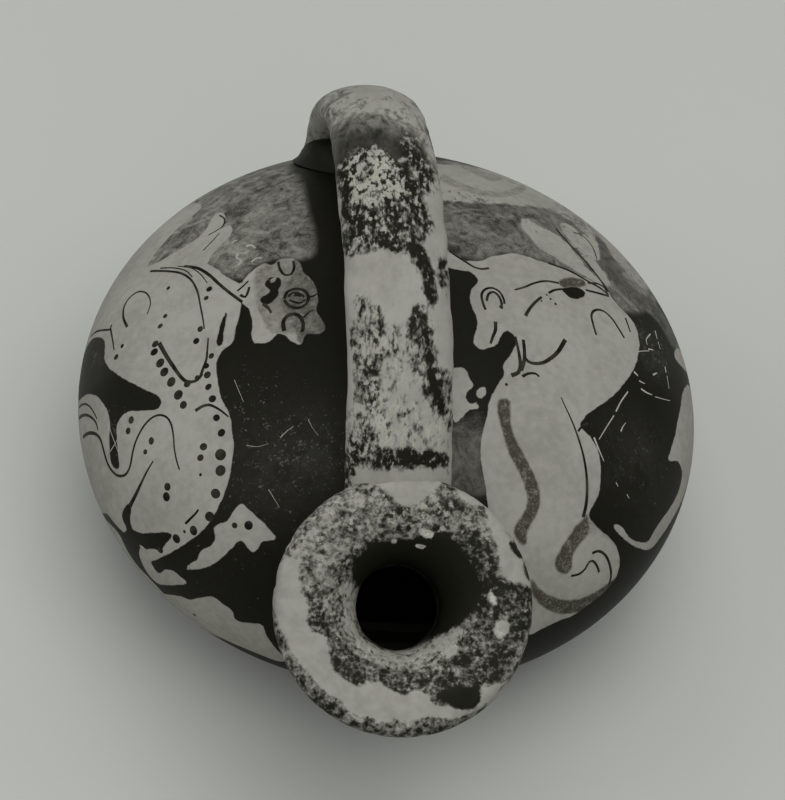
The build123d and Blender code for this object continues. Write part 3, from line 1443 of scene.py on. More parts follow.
    thin: dict[str, Film] = field(default_factory=lambda: {
        "left_crown": Film(1.05, (
            Around(-111, 33), Around(-124, 31), Around(-137, 34), Around(-148, 32), Around(-160, 37),
            Around(-170, 42), (292, 162), (301, 180), (307, 210), (314, 240), (311, 256), (300, 259),
            (285, 258), (266, 262), (252, 269), (240, 279), (228, 277), (214, 266), (200, 262), (178, 264),
            (155, 268),
        )),
        "right_crown": Film(0.8, (
            (432, 162), Around(172, 43), Around(160, 36), Around(148, 33), Around(136, 35), Around(124, 31),
            Around(112, 32), (652, 302), (640, 312), (622, 310), (608, 294), (572, 272), (540, 261),
            (512, 253), (487, 258), (478, 260), (462, 256), (440, 245), (425, 220),
        )),
        "right_edge": Film(1.05, (
            (566, 208), (585, 214), (612, 238), (635, 268), (648, 296), (640, 306), (626, 300), (614, 284),
            (604, 266), (590, 245), (575, 225),
        )),
        "right_rim": Film(1.9, (
            (556, 200), (582, 215), (607, 232), (632, 257), (652, 281), (642, 286), (620, 264), (598, 243),
            (574, 224), (549, 207),
        ), 0.5),
        "right_band": Film(4.5, (
            (428, 162), Around(170, 44), Around(158, 39), Around(146, 37), Around(137, 38), (556, 201),
            (548, 206), (520, 204), (480, 202), (450, 200), (428, 194),
        )),
        "right_wear": Film(0.55, (
            (644, 296), (652, 297), (665, 316), (677, 338), (690, 360), (684, 363), (674, 347), (664, 331),
            (654, 317), (642, 306),
        ), 0.6),
        "wing_edge": Film(0.5, (
            (596, 236), (604, 242), (612, 255), (622, 272), (634, 288), (646, 298), (640, 308), (628, 300),
            (614, 284), (606, 270), (600, 256),
        ), 0.5),
        "feather_low": Film(4.0, (
            (521, 219), (530, 220), (540, 227), (550, 232), (560, 238), (570, 248), (580, 260), (590, 272),
            (602, 284), (592, 279), (580, 272), (565, 263), (552, 255), (540, 247), (532, 238), (524, 228),
        ), 0.3),
        "feather_high": Film(4.0, (
            (561, 224), (570, 225), (577, 231), (583, 242), (590, 254), (597, 264), (605, 275), (609, 287),
            (603, 281), (594, 269), (584, 257), (573, 244), (564, 232),
        ), 0.3),
        "feather_curl": Film(4.0, (
            (581, 236), (588, 236), (595, 240), (598, 249), (597, 260), (592, 256), (586, 247),
        ), 0.3),
        "strap_side": Film(0.5, (
            (450, 424), (466, 420), (480, 415), (484, 432), (482, 470), (486, 492), (470, 494), (452, 485),
        )),
    })
    rubs: Sequence[Patch] = (
        Patch((316, 455), 6.0, 0.07),
        Patch((262, 475), 8.0, 0.04),
        Patch((640, 460), 7.0, 0.06),
        Patch((650, 350), 5.0, 0.10),
        Patch((100, 360), 5.0, 0.08),
        Patch(Around(178, 24), 9.0, 0.22),
        Patch(Around(120, 16), 8.0, 0.16),
        Patch(Around(-150, 13), 10.0, 0.18),
        Patch(Around(-60, 12), 7.0, 0.14),
        Patch(Around(75, 12), 8.0, 0.15),
    )
    scuffs: Sequence[Patch] = (
        Patch((316, 455), 6.0, 0.12),
        Patch((262, 470), 8.0, 0.10),
        Patch((240, 395), 5.0, 0.08),
        Patch((285, 425), 6.0, 0.05),
        Patch((655, 350), 5.0, 0.20),
        Patch((640, 460), 8.0, 0.08),
        Patch((468, 440), 5.0, 0.15),
        Patch((113, 430), 3.5, 0.20),
        Patch((90, 360), 5.0, 0.15),
        Patch((215, 570), 6.0, 0.06),
        Patch(Around(160, 20), 10.0, 0.14),
        Patch(Around(-130, 14), 9.0, 0.12),
        Patch(Around(100, 10), 8.0, 0.12),
        Patch(Around(-70, 9), 8.0, 0.12),
        Patch(Around(10, 8), 8.0, 0.10),
    )

    def chart(self, marks: Sequence[Mark]) -> np.ndarray:
        """Chart places of marks.

        Args:
            marks: Pixels of the photograph, or places given as Around.

        Returns:
            Chart places in millimetres.
        """
        seen = [mark for mark in marks if not isinstance(mark, Around)]
        found = iter(self.form.sight(self.station, seen)) if seen else iter(())
        places = []
        for mark in marks:
            if isinstance(mark, Around):
                azimuth = radians(mark.azimuth)
                places.append(np.array([sin(azimuth), -cos(azimuth)]) * self.form.run_at(mark.level))
            else:
                places.append(next(found))
        return np.array(places)

    def depth(self, places: np.ndarray, marks: Sequence[Mark]) -> np.ndarray:
        """How deep chart places lie inside an outline."""
        return depth_inside(places, smooth_line(self.chart(marks), True, self.spacing))

    def deepest(self, places: np.ndarray, shapes: dict[str, Sequence[Mark]]) -> np.ndarray:
        """How deep chart places lie inside the nearest of several shapes."""
        return np.max([self.depth(places, marks) for marks in shapes.values()], axis=0)

    def within(self, places: np.ndarray, film: Film) -> np.ndarray:
        """How far chart places lie within a soft-edged film, from 0 to 1."""
        return fade(self.depth(places, film.marks), -film.soft, film.soft)

    def around(self, places: np.ndarray, patch: Patch) -> np.ndarray:
        """How near chart places lie to the middle of a patch, from 0 to 1."""
        distance = np.linalg.norm(places - self.chart([patch.middle])[0], axis=1)
        return np.exp(-((distance / patch.radius) ** 2))

    def lay(self, mesh: bpy.types.Mesh, points: np.ndarray) -> None:
        """Paints a piece of the body.

        Args:
            mesh: The piece.
            points: Its corners in millimetres.
        """
        places = self.form.locate(points)
        reserved = self.deepest(places, self.reserved)
        reserved = np.minimum(reserved, -self.deepest(places, self.black))
        reserved = np.maximum(reserved, self.deepest(places, self.pale))
        wash = self.deepest(places, self.dilute)
        for film in self.smudges.values():
            wash = np.maximum(wash, self.within(places, film) * (film.amount + FAR) - FAR)
        thin = np.zeros(len(points))
        for film in self.thin.values():
            thin += (film.amount - thin) * self.within(places, film)
        for patch in self.rubs:
            thin += patch.amount * self.around(places, patch)
        wear = np.full(len(points), self.stray_wear)
        for patch in self.scuffs:
            wear += patch.amount * self.around(places, patch)
        outside = self.form.gap(points) > -self.skin
        paint(mesh, Layer.RESERVED, np.where(outside, reserved, -FAR))
        paint(mesh, Layer.DILUTE, wash)
        paint(mesh, Layer.THIN, thin)
        paint(mesh, Layer.WEAR, cover(wear))
        paint(mesh, Layer.CRUST, np.zeros(len(points)))


@dataclass
class Drawing:
    """Raised lines and spots of thick slip on the animals, and scratches that show clay in the slip."""

    picture: Picture
    height: float = 0.05
    scratch_height: float = 0.02
    weight: float = 1.12
    step: float = 0.45
    sides: int = 8
    spot_weight: float = 1.08
    spot_spread: tuple[float, float] = (0.92, 1.1)
    spot_sides: int = 14
    spot_rings: int = 6
    seed: int = 7

    lines: dict[str, Sequence[Stroke]] = field(default_factory=lambda: {
        "left_animal_lines": (
            Stroke((
                (150, 271), (165, 271), (180, 273), (190, 279), (197, 291), (200, 305), (203, 321),
                (204, 329),
            ), 0.4, 0.2),
            Stroke(((160, 268), (175, 268), (186, 271), (192, 277)), 0.25, 0.15),
            Stroke(((184, 266), (197, 268), (209, 275), (220, 285), (231, 294), (242, 302)), 0.45, 0.4),
            Stroke(((178, 266), (191, 268), (201, 275), (207, 283)), 0.18, 0.12),
            Stroke((
                (127, 327), (123, 317), (124, 306), (129, 298), (137, 292), (144, 292), (149, 297),
                (150, 305), (147, 314),
            ), 0.4, 0.15),
            Stroke(((91, 336), (95, 332), (103, 330), (110, 329), (111, 325)), 0.35, 0.3),
            Stroke(((110, 328), (112, 338), (114, 350)), 0.35, 0.2),
            Stroke((
                (159, 343), (165, 354), (172, 365), (179, 375), (185, 381), (191, 382), (197, 380),
                (202, 374),
            ), 0.6, 0.4),
            Stroke(((208, 338), (207, 350), (206, 360), (203, 368), (200, 377)), 0.2, 0.45),
            Stroke((
                (83, 437), (90, 433), (97, 435), (101, 441), (104, 452), (107, 462), (112, 471), (119, 476),
                (126, 474), (130, 466), (132, 455), (135, 443), (140, 432), (146, 423), (153, 417),
                (160, 415), (167, 418), (171, 425), (173, 436), (174, 449), (176, 460), (179, 470),
            ), 0.5, 0.2),
            Stroke(((79, 407), (85, 404), (90, 407), (94, 413), (97, 419)), 0.35, 0.2),
            Stroke(((79, 418), (86, 415), (92, 418), (96, 423), (98, 430)), 0.5, 0.25),
            Stroke(((153, 461), (147, 471), (142, 481), (136, 494), (130, 506)), 0.2, 0.65),
            Stroke(((195, 411), (201, 407), (208, 405), (216, 408), (222, 412), (228, 417)), 0.45, 0.2),
            Stroke(((185, 524), (190, 519), (195, 514), (198, 510)), 0.35, 0.25),
            Stroke((
                (284, 299), (287, 292), (294, 289), (303, 290), (308, 296), (306, 304), (298, 308),
                (289, 306), (284, 300),
            ), 0.42, 0.42),
            Stroke(((288, 297), (292, 293), (298, 293), (304, 297)), 0.35, 0.3),
            Stroke(((289, 300), (294, 302), (300, 303), (305, 300)), 0.35, 0.3),
            Stroke(((294, 295), (298, 295), (301, 296)), 0.5, 0.4),
            Stroke(((308, 297), (313, 296), (317, 294)), 0.3, 0.2),
            Stroke(((278, 262), (280, 270), (285, 275), (291, 274), (294, 267), (293, 261)), 0.35, 0.35),
            Stroke((
                (284, 331), (283, 322), (287, 316), (294, 314), (300, 317), (303, 324), (302, 332),
            ), 0.55, 0.45),
            Stroke(((303, 318), (309, 312), (313, 310)), 0.3, 0.2),
            Stroke(((237, 291), (243, 286), (248, 281)), 0.3, 0.25),
            Stroke(((240, 295), (245, 297), (248, 291), (249, 287)), 0.4, 0.3),
            Stroke(((263, 304), (268, 308), (271, 313)), 0.5, 0.3),
            Stroke(((203, 250), (211, 242), (219, 233)), 0.2, 0.15),
            Stroke(((208, 235), (215, 231), (222, 226), (224, 219), (219, 215)), 0.2, 0.25),
        ),
        "right_animal_lines": (
            Stroke(((449, 251), (458, 257), (466, 262), (474, 267), (482, 269), (489, 268)), 0.3, 0.35),
            Stroke((
                (486, 310), (483, 302), (482, 294), (486, 289), (493, 288), (500, 292), (504, 299),
                (505, 304),
            ), 0.35, 0.3),
            Stroke(((487, 301), (489, 294), (494, 292), (499, 296), (502, 303), (502, 309)), 0.35, 0.35),
            Stroke(((515, 290), (525, 287), (535, 283), (546, 281), (559, 283)), 0.25, 0.35),
            Stroke(((549, 293), (555, 290), (563, 289)), 0.35, 0.3),
            Stroke(((526, 316), (530, 309), (536, 302), (542, 297)), 0.45, 0.35),
            Stroke(((496, 322), (496, 330), (493, 338), (491, 344)), 0.5, 0.3),
            Stroke((
                (525, 357), (529, 362), (536, 364), (544, 363), (551, 359), (558, 353), (562, 347),
                (566, 340),
            ), 0.4, 0.6),
            Stroke(((523, 377), (529, 374), (536, 374), (540, 377)), 0.4, 0.25),
            Stroke((
                (597, 335), (594, 325), (592, 315), (596, 310), (604, 311), (612, 318), (619, 328),
                (625, 338),
            ), 0.35, 0.35),
            Stroke(((626, 318), (629, 326), (631, 332)), 0.35, 0.25),
            Stroke(((548, 263), (570, 271), (588, 281), (602, 289), (609, 295)), 0.35, 0.4),
            Stroke(((556, 229), (572, 247), (588, 264), (600, 279), (609, 292)), 0.35, 0.35),
            Stroke(((586, 290), (598, 293), (609, 296)), 0.35, 0.4),
            Stroke(((588, 283), (599, 284), (605, 288), (608, 294)), 0.3, 0.3),
            Stroke((
                (562, 398), (567, 409), (573, 422), (579, 438), (584, 455), (587, 472), (588, 490),
                (587, 505), (584, 518),
            ), 0.15, 0.5),
            Stroke(((593, 554), (600, 552), (607, 557), (611, 567), (612, 577), (610, 586)), 0.35, 0.4),
            Stroke((
                (572, 577), (580, 575), (586, 570), (590, 563), (594, 562), (598, 567), (600, 573),
            ), 0.3, 0.35),
            Stroke(((516, 337), (518, 346), (520, 356), (521, 366), (519, 373), (512, 376)), 0.3, 0.55),
            Stroke(((524, 340), (525, 350), (525, 360), (522, 371)), 0.45, 0.5),
            Stroke(((573, 232), (583, 236), (592, 246), (597, 259)), 0.2, 0.2),
            Stroke(((579, 432), (583, 427), (589, 424)), 0.3, 0.3),
        ),
    })
    spots: Sequence[Spot] = tuple(Spot(*mark) for mark in (
        (131, 420, 3.2), (128, 431, 3.2), (151, 441, 3.2), (145, 452, 2.4), (178, 395, 4.6),
        (183, 405, 3.4), (212, 399, 3.2), (216, 418, 3.2), (221, 433, 3.6), (220, 455, 4.8),
        (220, 471, 4.8), (203, 447, 3.4), (200, 458, 3.2), (167, 487, 3.6), (166, 497, 3.8),
        (215, 494, 4.4), (209, 517, 4.2), (193, 531, 4.2), (176, 539, 4.4), (160, 550, 3.4),
        (248, 526, 3.8), (234, 526, 2.6), (155, 344, 3.6), (154, 352, 3.8), (160, 363, 4.2),
        (164, 372, 4.0), (171, 382, 4.6), (211, 356, 2.6), (206, 366, 2.6), (207, 375, 3.4),
        (208, 387, 3.0), (187, 384, 3.4), (197, 378, 2.8), (168, 288, 2.0), (209, 289, 3.0),
        (206, 298, 2.4), (165, 316, 2.4), (160, 326, 2.6), (200, 329, 3.0), (196, 341, 3.2),
        (122, 346, 2.2), (116, 357, 2.8), (184, 532, 1.6), (200, 475, 1.4), (551, 299, 1.2),
        (542, 301, 1.0), (556, 304, 1.3), (547, 295, 1.0), (501, 307, 1.4), (507, 385, 1.4),
        (194, 615, 2.0),
    ))
    scratches: Sequence[Stroke] = (
        Stroke(((651, 334), (647, 340), (648, 345)), 0.2, 0.12),
        Stroke(((649, 349), (654, 350)), 0.22, 0.15),
        Stroke(((656, 331), (658, 339)), 0.22, 0.12),
        Stroke(((659, 342), (661, 349)), 0.14, 0.1),
        Stroke(((637, 352), (645, 351), (650, 351)), 0.12, 0.12),
        Stroke(((666, 367), (667, 373)), 0.24, 0.12),
        Stroke(((668, 376), (670, 389)), 0.13, 0.1),
        Stroke(((654, 375), (658, 373)), 0.26, 0.16),
        Stroke(((642, 389), (648, 393), (653, 395)), 0.28, 0.14),
        Stroke(((656, 397), (663, 399), (671, 401)), 0.14, 0.1),
        Stroke(((629, 392), (622, 402), (617, 412)), 0.16, 0.2),
        Stroke(((615, 416), (608, 427), (600, 440)), 0.16, 0.1),
        Stroke(((595, 438), (599, 448), (605, 462)), 0.28, 0.1),
        Stroke(((640, 381), (646, 384)), 0.24, 0.12),
        Stroke(((635, 372), (639, 376)), 0.32, 0.2),
        Stroke(((622, 432), (624, 427), (627, 423)), 0.2, 0.08),
        Stroke(((617, 483), (619, 487)), 0.14, 0.1),
        Stroke(((628, 495), (630, 499)), 0.14, 0.1),
        Stroke(((108, 424), (113, 438), (118, 452)), 0.15, 0.08),
        Stroke(((110, 452), (117, 440), (121, 428)), 0.12, 0.06),
        Stroke(((280, 438), (287, 431), (293, 427)), 0.09, 0.05),
        Stroke(((308, 420), (312, 428), (318, 436)), 0.07, 0.04),
        Stroke(((234, 380), (238, 390), (243, 402)), 0.07, 0.04),
        Stroke(((246, 446), (258, 447), (268, 444)), 0.06, 0.04),
        Stroke(((268, 490), (274, 500), (279, 508)), 0.08, 0.04),
        Stroke(((238, 253), (236, 257), (241, 261), (238, 265)), 0.3, 0.2),
        Stroke(((246, 246), (251, 245), (255, 248)), 0.38, 0.25),
        Stroke(((231, 243), (234, 241), (237, 240)), 0.3, 0.2),
        Stroke(((251, 262), (256, 258), (262, 258)), 0.28, 0.18),
    )

    def ribbon(self, stroke: Stroke, height: float) -> bmesh.types.BMesh:
        """One line: a flat oval extruded along its path on the body.

        Args:
            stroke: The line.
            height: How far it stands out.

        Returns:
            The closed line in millimetres.
        """
        form = self.picture.form
        path = smooth_line(self.picture.chart(stroke.marks), False, self.step)
        places, normals = form.surface(path)
        places = form.settle(places)
        along = np.gradient(places, axis=0)
        widths = np.linspace(stroke.start, stroke.end, len(path)) * self.weight
        line = bmesh.new()
        ring = bmesh.ops.create_circle(line, segments=self.sides, radius=1.0)["verts"]
        edges = line.edges[:]
        before = Matrix.Identity(4)
        for step, (place, normal, heading, width) in enumerate(zip(places, normals, along, widths)):
            up = Vector(normal)
            ahead = Vector(heading).normalized()
            aside = up.cross(ahead).normalized() * (width / 2)
            frame_here = Matrix((aside, up * height, ahead)).transposed().to_4x4()
            frame_here.translation = Vector(place)
            if step:
                ring, edges = extrude_ring(line, edges)
            bmesh.ops.transform(line, matrix=frame_here @ before.inverted(), verts=ring)
            before = frame_here
        bmesh.ops.holes_fill(line, edges=line.edges[:])
        bmesh.ops.recalc_face_normals(line, faces=line.faces)
        return line

    def dab(self, spot: Spot, shape: np.random.Generator) -> bmesh.types.BMesh:
        """One dab of slip: a flat round drop.

        Args:
            spot: Its place and size.
            shape: Source of small differences.

        Returns:
            The drop in millimetres.
        """
        form = self.picture.form
        places, normals = form.surface(self.picture.chart([(spot.column, spot.row)]))
        up = Vector(normals[0])
        aside = up.orthogonal().normalized()
        size = spot.radius / self.picture.station.pixels_per_mm() * self.spot_weight
        wide, long = size * shape.uniform(*self.spot_spread, 2)
        drop = bmesh.new()
        bmesh.ops.create_uvsphere(drop, u_segments=self.spot_sides, v_segments=self.spot_rings, radius=1.0)
        turn = Matrix.Rotation(shape.uniform(0, pi), 4, up)
        flat = Matrix((aside * wide, up.cross(aside) * long, up * self.height)).transposed().to_4x4()
        flat = Matrix.Translation(Vector(form.settle(places)[0])) @ turn @ flat
        bmesh.ops.transform(drop, matrix=flat, verts=drop.verts)
        return drop

    def build(self, thick: bpy.types.Material, bare: bpy.types.Material) -> None:
        """Makes the lines of each animal, the spots and the scratches.

        Args:
            thick: The slip that lines and spots are drawn with.
            bare: The clay that the scratches show.
        """
        shape = np.random.default_rng(self.seed)
        groups = {
            name: [self.ribbon(stroke, self.height) for stroke in strokes]
            for name, strokes in self.lines.items()
        }
        groups["animal_spots"] = [self.dab(spot, shape) for spot in self.spots]
        for name, forms in groups.items():
            mesh = shape_mesh(name, join_forms(forms))
            place_piece(mesh, read_points(mesh), thick)
        scratches = [self.ribbon(stroke, self.scratch_height) for stroke in self.scratches]
        mesh = shape_mesh("slip_scratches", join_forms(scratches))
        place_piece(mesh, read_points(mesh), bare)


@dataclass
class Weathering:
    """Wear and crust on a piece that faces the photographer, in zones outlined by pixels, some of which
    paint light and shade.

    Later zones lie over earlier ones. Ground and hidden are the wear and crust elsewhere, in sight
    and out of it.
    """

    station: Station
    ground: tuple[float, float]
    hidden: tuple[float, float]
    zones: dict[str, Zone]
    spacing: float = 0.5
    facing: tuple[float, float] = (-0.2, 0.1)

    def lay(self, mesh: bpy.types.Mesh, points: np.ndarray, normals: np.ndarray) -> None:
        """Paints a piece.

        Args:
            mesh: The piece.
            points: Its corners in millimetres.
            normals: Outward directions there.
        """
        scale = self.station.pixels_per_mm()
        places = self.station.project(points) / scale
        sight = self.station.eye() - points
        facing = (normals * sight).sum(axis=1) / np.linalg.norm(sight, axis=1)
        shown = fade(facing, *self.facing)
        layers = {Layer.WEAR: 0.0, Layer.CRUST: 0.0, Layer.THIN: 0.0}
        for layer, out_of_sight, in_sight in zip(layers, (*self.hidden, 0.0), (*self.ground, 0.0)):
            layers[layer] = out_of_sight + (in_sight - out_of_sight) * shown
        for zone in self.zones.values():
            outline = smooth_line(np.array(zone.outline, dtype=float) / scale, True, self.spacing)
            inside = shown * fade(depth_inside(places, outline), -zone.soft, zone.soft)
            for layer, amount in zip(layers, (zone.wear, zone.crust, zone.thin)):
                layers[layer] = layers[layer] + (amount - layers[layer]) * inside
        none = np.full(len(points), -FAR)
        paint(mesh, Layer.RESERVED, none)
        paint(mesh, Layer.DILUTE, none)
        paint(mesh, Layer.THIN, layers[Layer.THIN])
        paint(mesh, Layer.WEAR, cover(layers[Layer.WEAR]))
        paint(mesh, Layer.CRUST, cover(layers[Layer.CRUST]))


@dataclass
class Mouth:
    """The mouth: a chipped lip, a funnel and a flare, spun about the spout's axis. Light and shade are
    painted round the inside of its throat.
    """

    form: SpoutForm
    station: Station
    steps: int = 360
    spacing: float = 0.35
    chip_size: float = 3.2
    chip_depth: float = 0.5
    chip_reach: float = 0.6
    chip_level: float = 0.12
    uneven: float = 0.06
    uneven_limit: float = 0.2
    ground: tuple[float, float] = (0.62, 0.2)
    hidden: tuple[float, float] = (0.25, 0.08)

    zones: dict[str, Zone] = field(default_factory=lambda: {
        "upper_left": Zone(0.78, 0.25, (
            (276, 556), (284, 535), (300, 510), (325, 488), (350, 480), (362, 500), (372, 518), (362, 536),
            (348, 552), (335, 560), (322, 575), (300, 580), (290, 560),
        ), 1.0),
        "top": Zone(0.48, 0.28, (
            (350, 516), (366, 506), (384, 500), (410, 503), (440, 498), (466, 503), (482, 516), (490, 534),
            (484, 548), (466, 540), (440, 536), (410, 538), (380, 542), (356, 552), (344, 540),
        ), 0.8),
        "right": Zone(0.22, 0.10, (
            (452, 530), (470, 528), (486, 540), (496, 560), (503, 580), (528, 586), (530, 615), (520, 645),
            (505, 672), (480, 690), (462, 700), (440, 690), (452, 660), (470, 630), (478, 600), (474, 570),
        ), 0.8),
        "right_edge": Zone(0.16, 0.08, (
            (503, 578), (516, 580), (528, 586), (530, 605), (520, 612), (508, 608), (500, 594),
        ), 0.8),
        "funnel": Zone(0.0, 0.0, (
            (346, 566), (358, 552), (375, 543), (395, 537), (420, 536), (448, 534), (465, 548), (475, 565),
            (484, 585), (480, 605), (466, 622), (448, 634), (425, 642), (405, 650), (385, 650), (367, 641),
            (357, 627), (356, 606), (360, 590), (350, 580),
        ), 0.8),
        "left_ring": Zone(0.5, 0.2, (
            (304, 585), (320, 575), (336, 562), (350, 556), (352, 575), (342, 596), (344, 620), (350, 642),
            (335, 640), (318, 622), (308, 605),
        )),
        # Painted light: heavy wear and crust make the lower-left inner wall of the funnel pale, as if lit
        # from the upper right.
        "throat_ring": Zone(0.94, 0.45, (
            (346, 578), (356, 590), (356, 606), (358, 625), (367, 640), (385, 649), (405, 649), (428, 641),
            (448, 633), (464, 628), (452, 650), (430, 662), (400, 668), (372, 662), (352, 645), (344, 620),
            (342, 598),
        )),
        # Painted shade: less slip is worn off here than around it, so this ring inside the lip stays dark
        # as if in shade.
        "inner_shade": Zone(0.28, 0.12, (
            (312, 612), (322, 615), (334, 630), (346, 645), (360, 658), (385, 668), (410, 674), (440, 672),
            (455, 690), (470, 706), (455, 702), (440, 704), (428, 696), (418, 690), (405, 694), (386, 688),
            (380, 681), (364, 687), (345, 679), (332, 668), (328, 645), (318, 634), (308, 625),
        )),
        "bare_left": Zone(1.0, 0.03, (
            (276, 566), (288, 557), (298, 561), (299, 576), (302, 592), (307, 602), (308, 612), (307, 623),
            (313, 632), (322, 634), (327, 641), (331, 653), (332, 667), (343, 678), (353, 684), (363, 687),
            (371, 682), (380, 681), (386, 688), (396, 691), (406, 695), (418, 690), (426, 694), (432, 702),
            (442, 706), (455, 704), (466, 709), (476, 706), (480, 697), (482, 689), (496, 684), (510, 683),
            (505, 700), (488, 712), (470, 716), (452, 719), (430, 718), (405, 720), (385, 722), (365, 717),
            (348, 712), (344, 704), (334, 697), (321, 688), (311, 676), (302, 666), (295, 657), (288, 645),
            (281, 630), (275, 615), (271, 600), (272, 582),
        ), 0.3),
        "bare_right": Zone(1.0, 0.05, (
            (470, 497), (480, 503), (487, 516), (491, 530), (496, 545), (500, 560), (501, 574), (508, 581),
            (522, 584), (534, 588), (536, 568), (526, 548), (514, 530), (500, 514), (488, 500), (478, 492),
        ), 0.4),
        "bare_back": Zone(1.0, 0.05, (
            (366, 466), (390, 462), (420, 462), (448, 466), (446, 478), (436, 490), (424, 500), (412, 506),
            (400, 505), (392, 497), (386, 489), (370, 484),
        ), 0.4),
        "bare_oval": Zone(1.0, 0.1, (
            (457, 492), (470, 488), (484, 494), (490, 503), (478, 507), (463, 502),
        )),
        "black_patch": Zone(0.0, 0.0, (
            (436, 695), (450, 690), (465, 687), (478, 690), (481, 699), (476, 707), (462, 709), (448, 704),
        ), 0.3),
        "rim_low": Zone(0.40, 0.1, (
            (268, 600), (274, 622), (281, 640), (290, 656), (300, 668), (312, 682), (325, 694), (340, 705),
            (350, 716), (364, 722), (382, 727), (402, 729), (425, 727), (450, 722), (472, 714), (492, 704),
            (496, 712), (472, 730), (440, 742), (400, 745), (358, 738), (328, 720), (302, 696), (282, 668),
            (266, 640), (260, 615),
        )),
        "rim_chip_high": Zone(0.0, 0.0, ((509, 541), (516, 544), (526, 556), (521, 559), (513, 551)), 0.25),
        "rim_chip_low": Zone(0.0, 0.0, ((524, 562), (530, 570), (533, 580), (528, 580), (525, 571)), 0.25),
        "rim_chip_side": Zone(0.1, 0.0, ((524, 613), (530, 613), (531, 624), (526, 623)), 0.25),
        "round_scar": Zone(1.0, 0.6, (
            (496, 624), (502, 620), (508, 623), (510, 630), (505, 636), (497, 639), (494, 632),
        ), 0.2),
        "scar_low": Zone(1.0, 0.6, ((447, 648), (456, 644), (458, 650), (452, 656), (445, 655)), 0.25),
        "scar_side": Zone(1.0, 0.9, ((490, 590), (495, 597), (497, 606), (492, 604), (489, 597)), 0.2),
        "fleck_high": Zone(1.0, 1.0, ((419, 531), (426, 530), (434, 534), (432, 538), (422, 536)), 0.15),
        "fleck_mid": Zone(1.0, 1.0, ((415, 545), (420, 544), (426, 546), (424, 549), (417, 548)), 0.15),
        "fleck_left": Zone(1.0, 0.9, ((391, 540), (396, 539), (397, 543), (392, 544)), 0.15),
    })

    def chip(self, points: np.ndarray, normals: np.ndarray) -> np.ndarray:
        """Nicks the rim and leaves the rest a little uneven.

        Args:
            points: Corners in the spout's own frame.
            normals: Outward directions there.

        Returns:
            Corners after use and burial.
        """
        radius = np.hypot(points[:, 0], points[:, 1])
        edge = self.form.radius - self.chip_reach
        on_rim = fade(radius, edge - self.form.flat, edge)
        rough = roughness(points, self.chip_size, octaves=4)
        nick = np.clip(rough - self.chip_level, 0.0, self.chip_reach) * self.chip_depth * on_rim
        uneven = np.clip(self.uneven * (1 + rough), 0.0, self.uneven_limit)
        return points - normals * (nick + uneven)[:, None]

    def build(self, material: bpy.types.Material) -> None:
        """Makes the mouth.

        Args:
            material: Its finish.
        """
        mesh = shape_mesh("worn_mouth_lip", lathe(self.form.outline(self.spacing), self.steps, closed=True))
        local = self.chip(read_points(mesh), read_normals(mesh))
        to_place = np.array(self.form.frame())
        points = local @ to_place[:3, :3].T + to_place[:3, 3]
        normals = read_normals(mesh) @ to_place[:3, :3].T
        Weathering(self.station, self.ground, self.hidden, self.zones).lay(mesh, points, normals)
        place_piece(mesh, points, material, ["mouth_lip"])


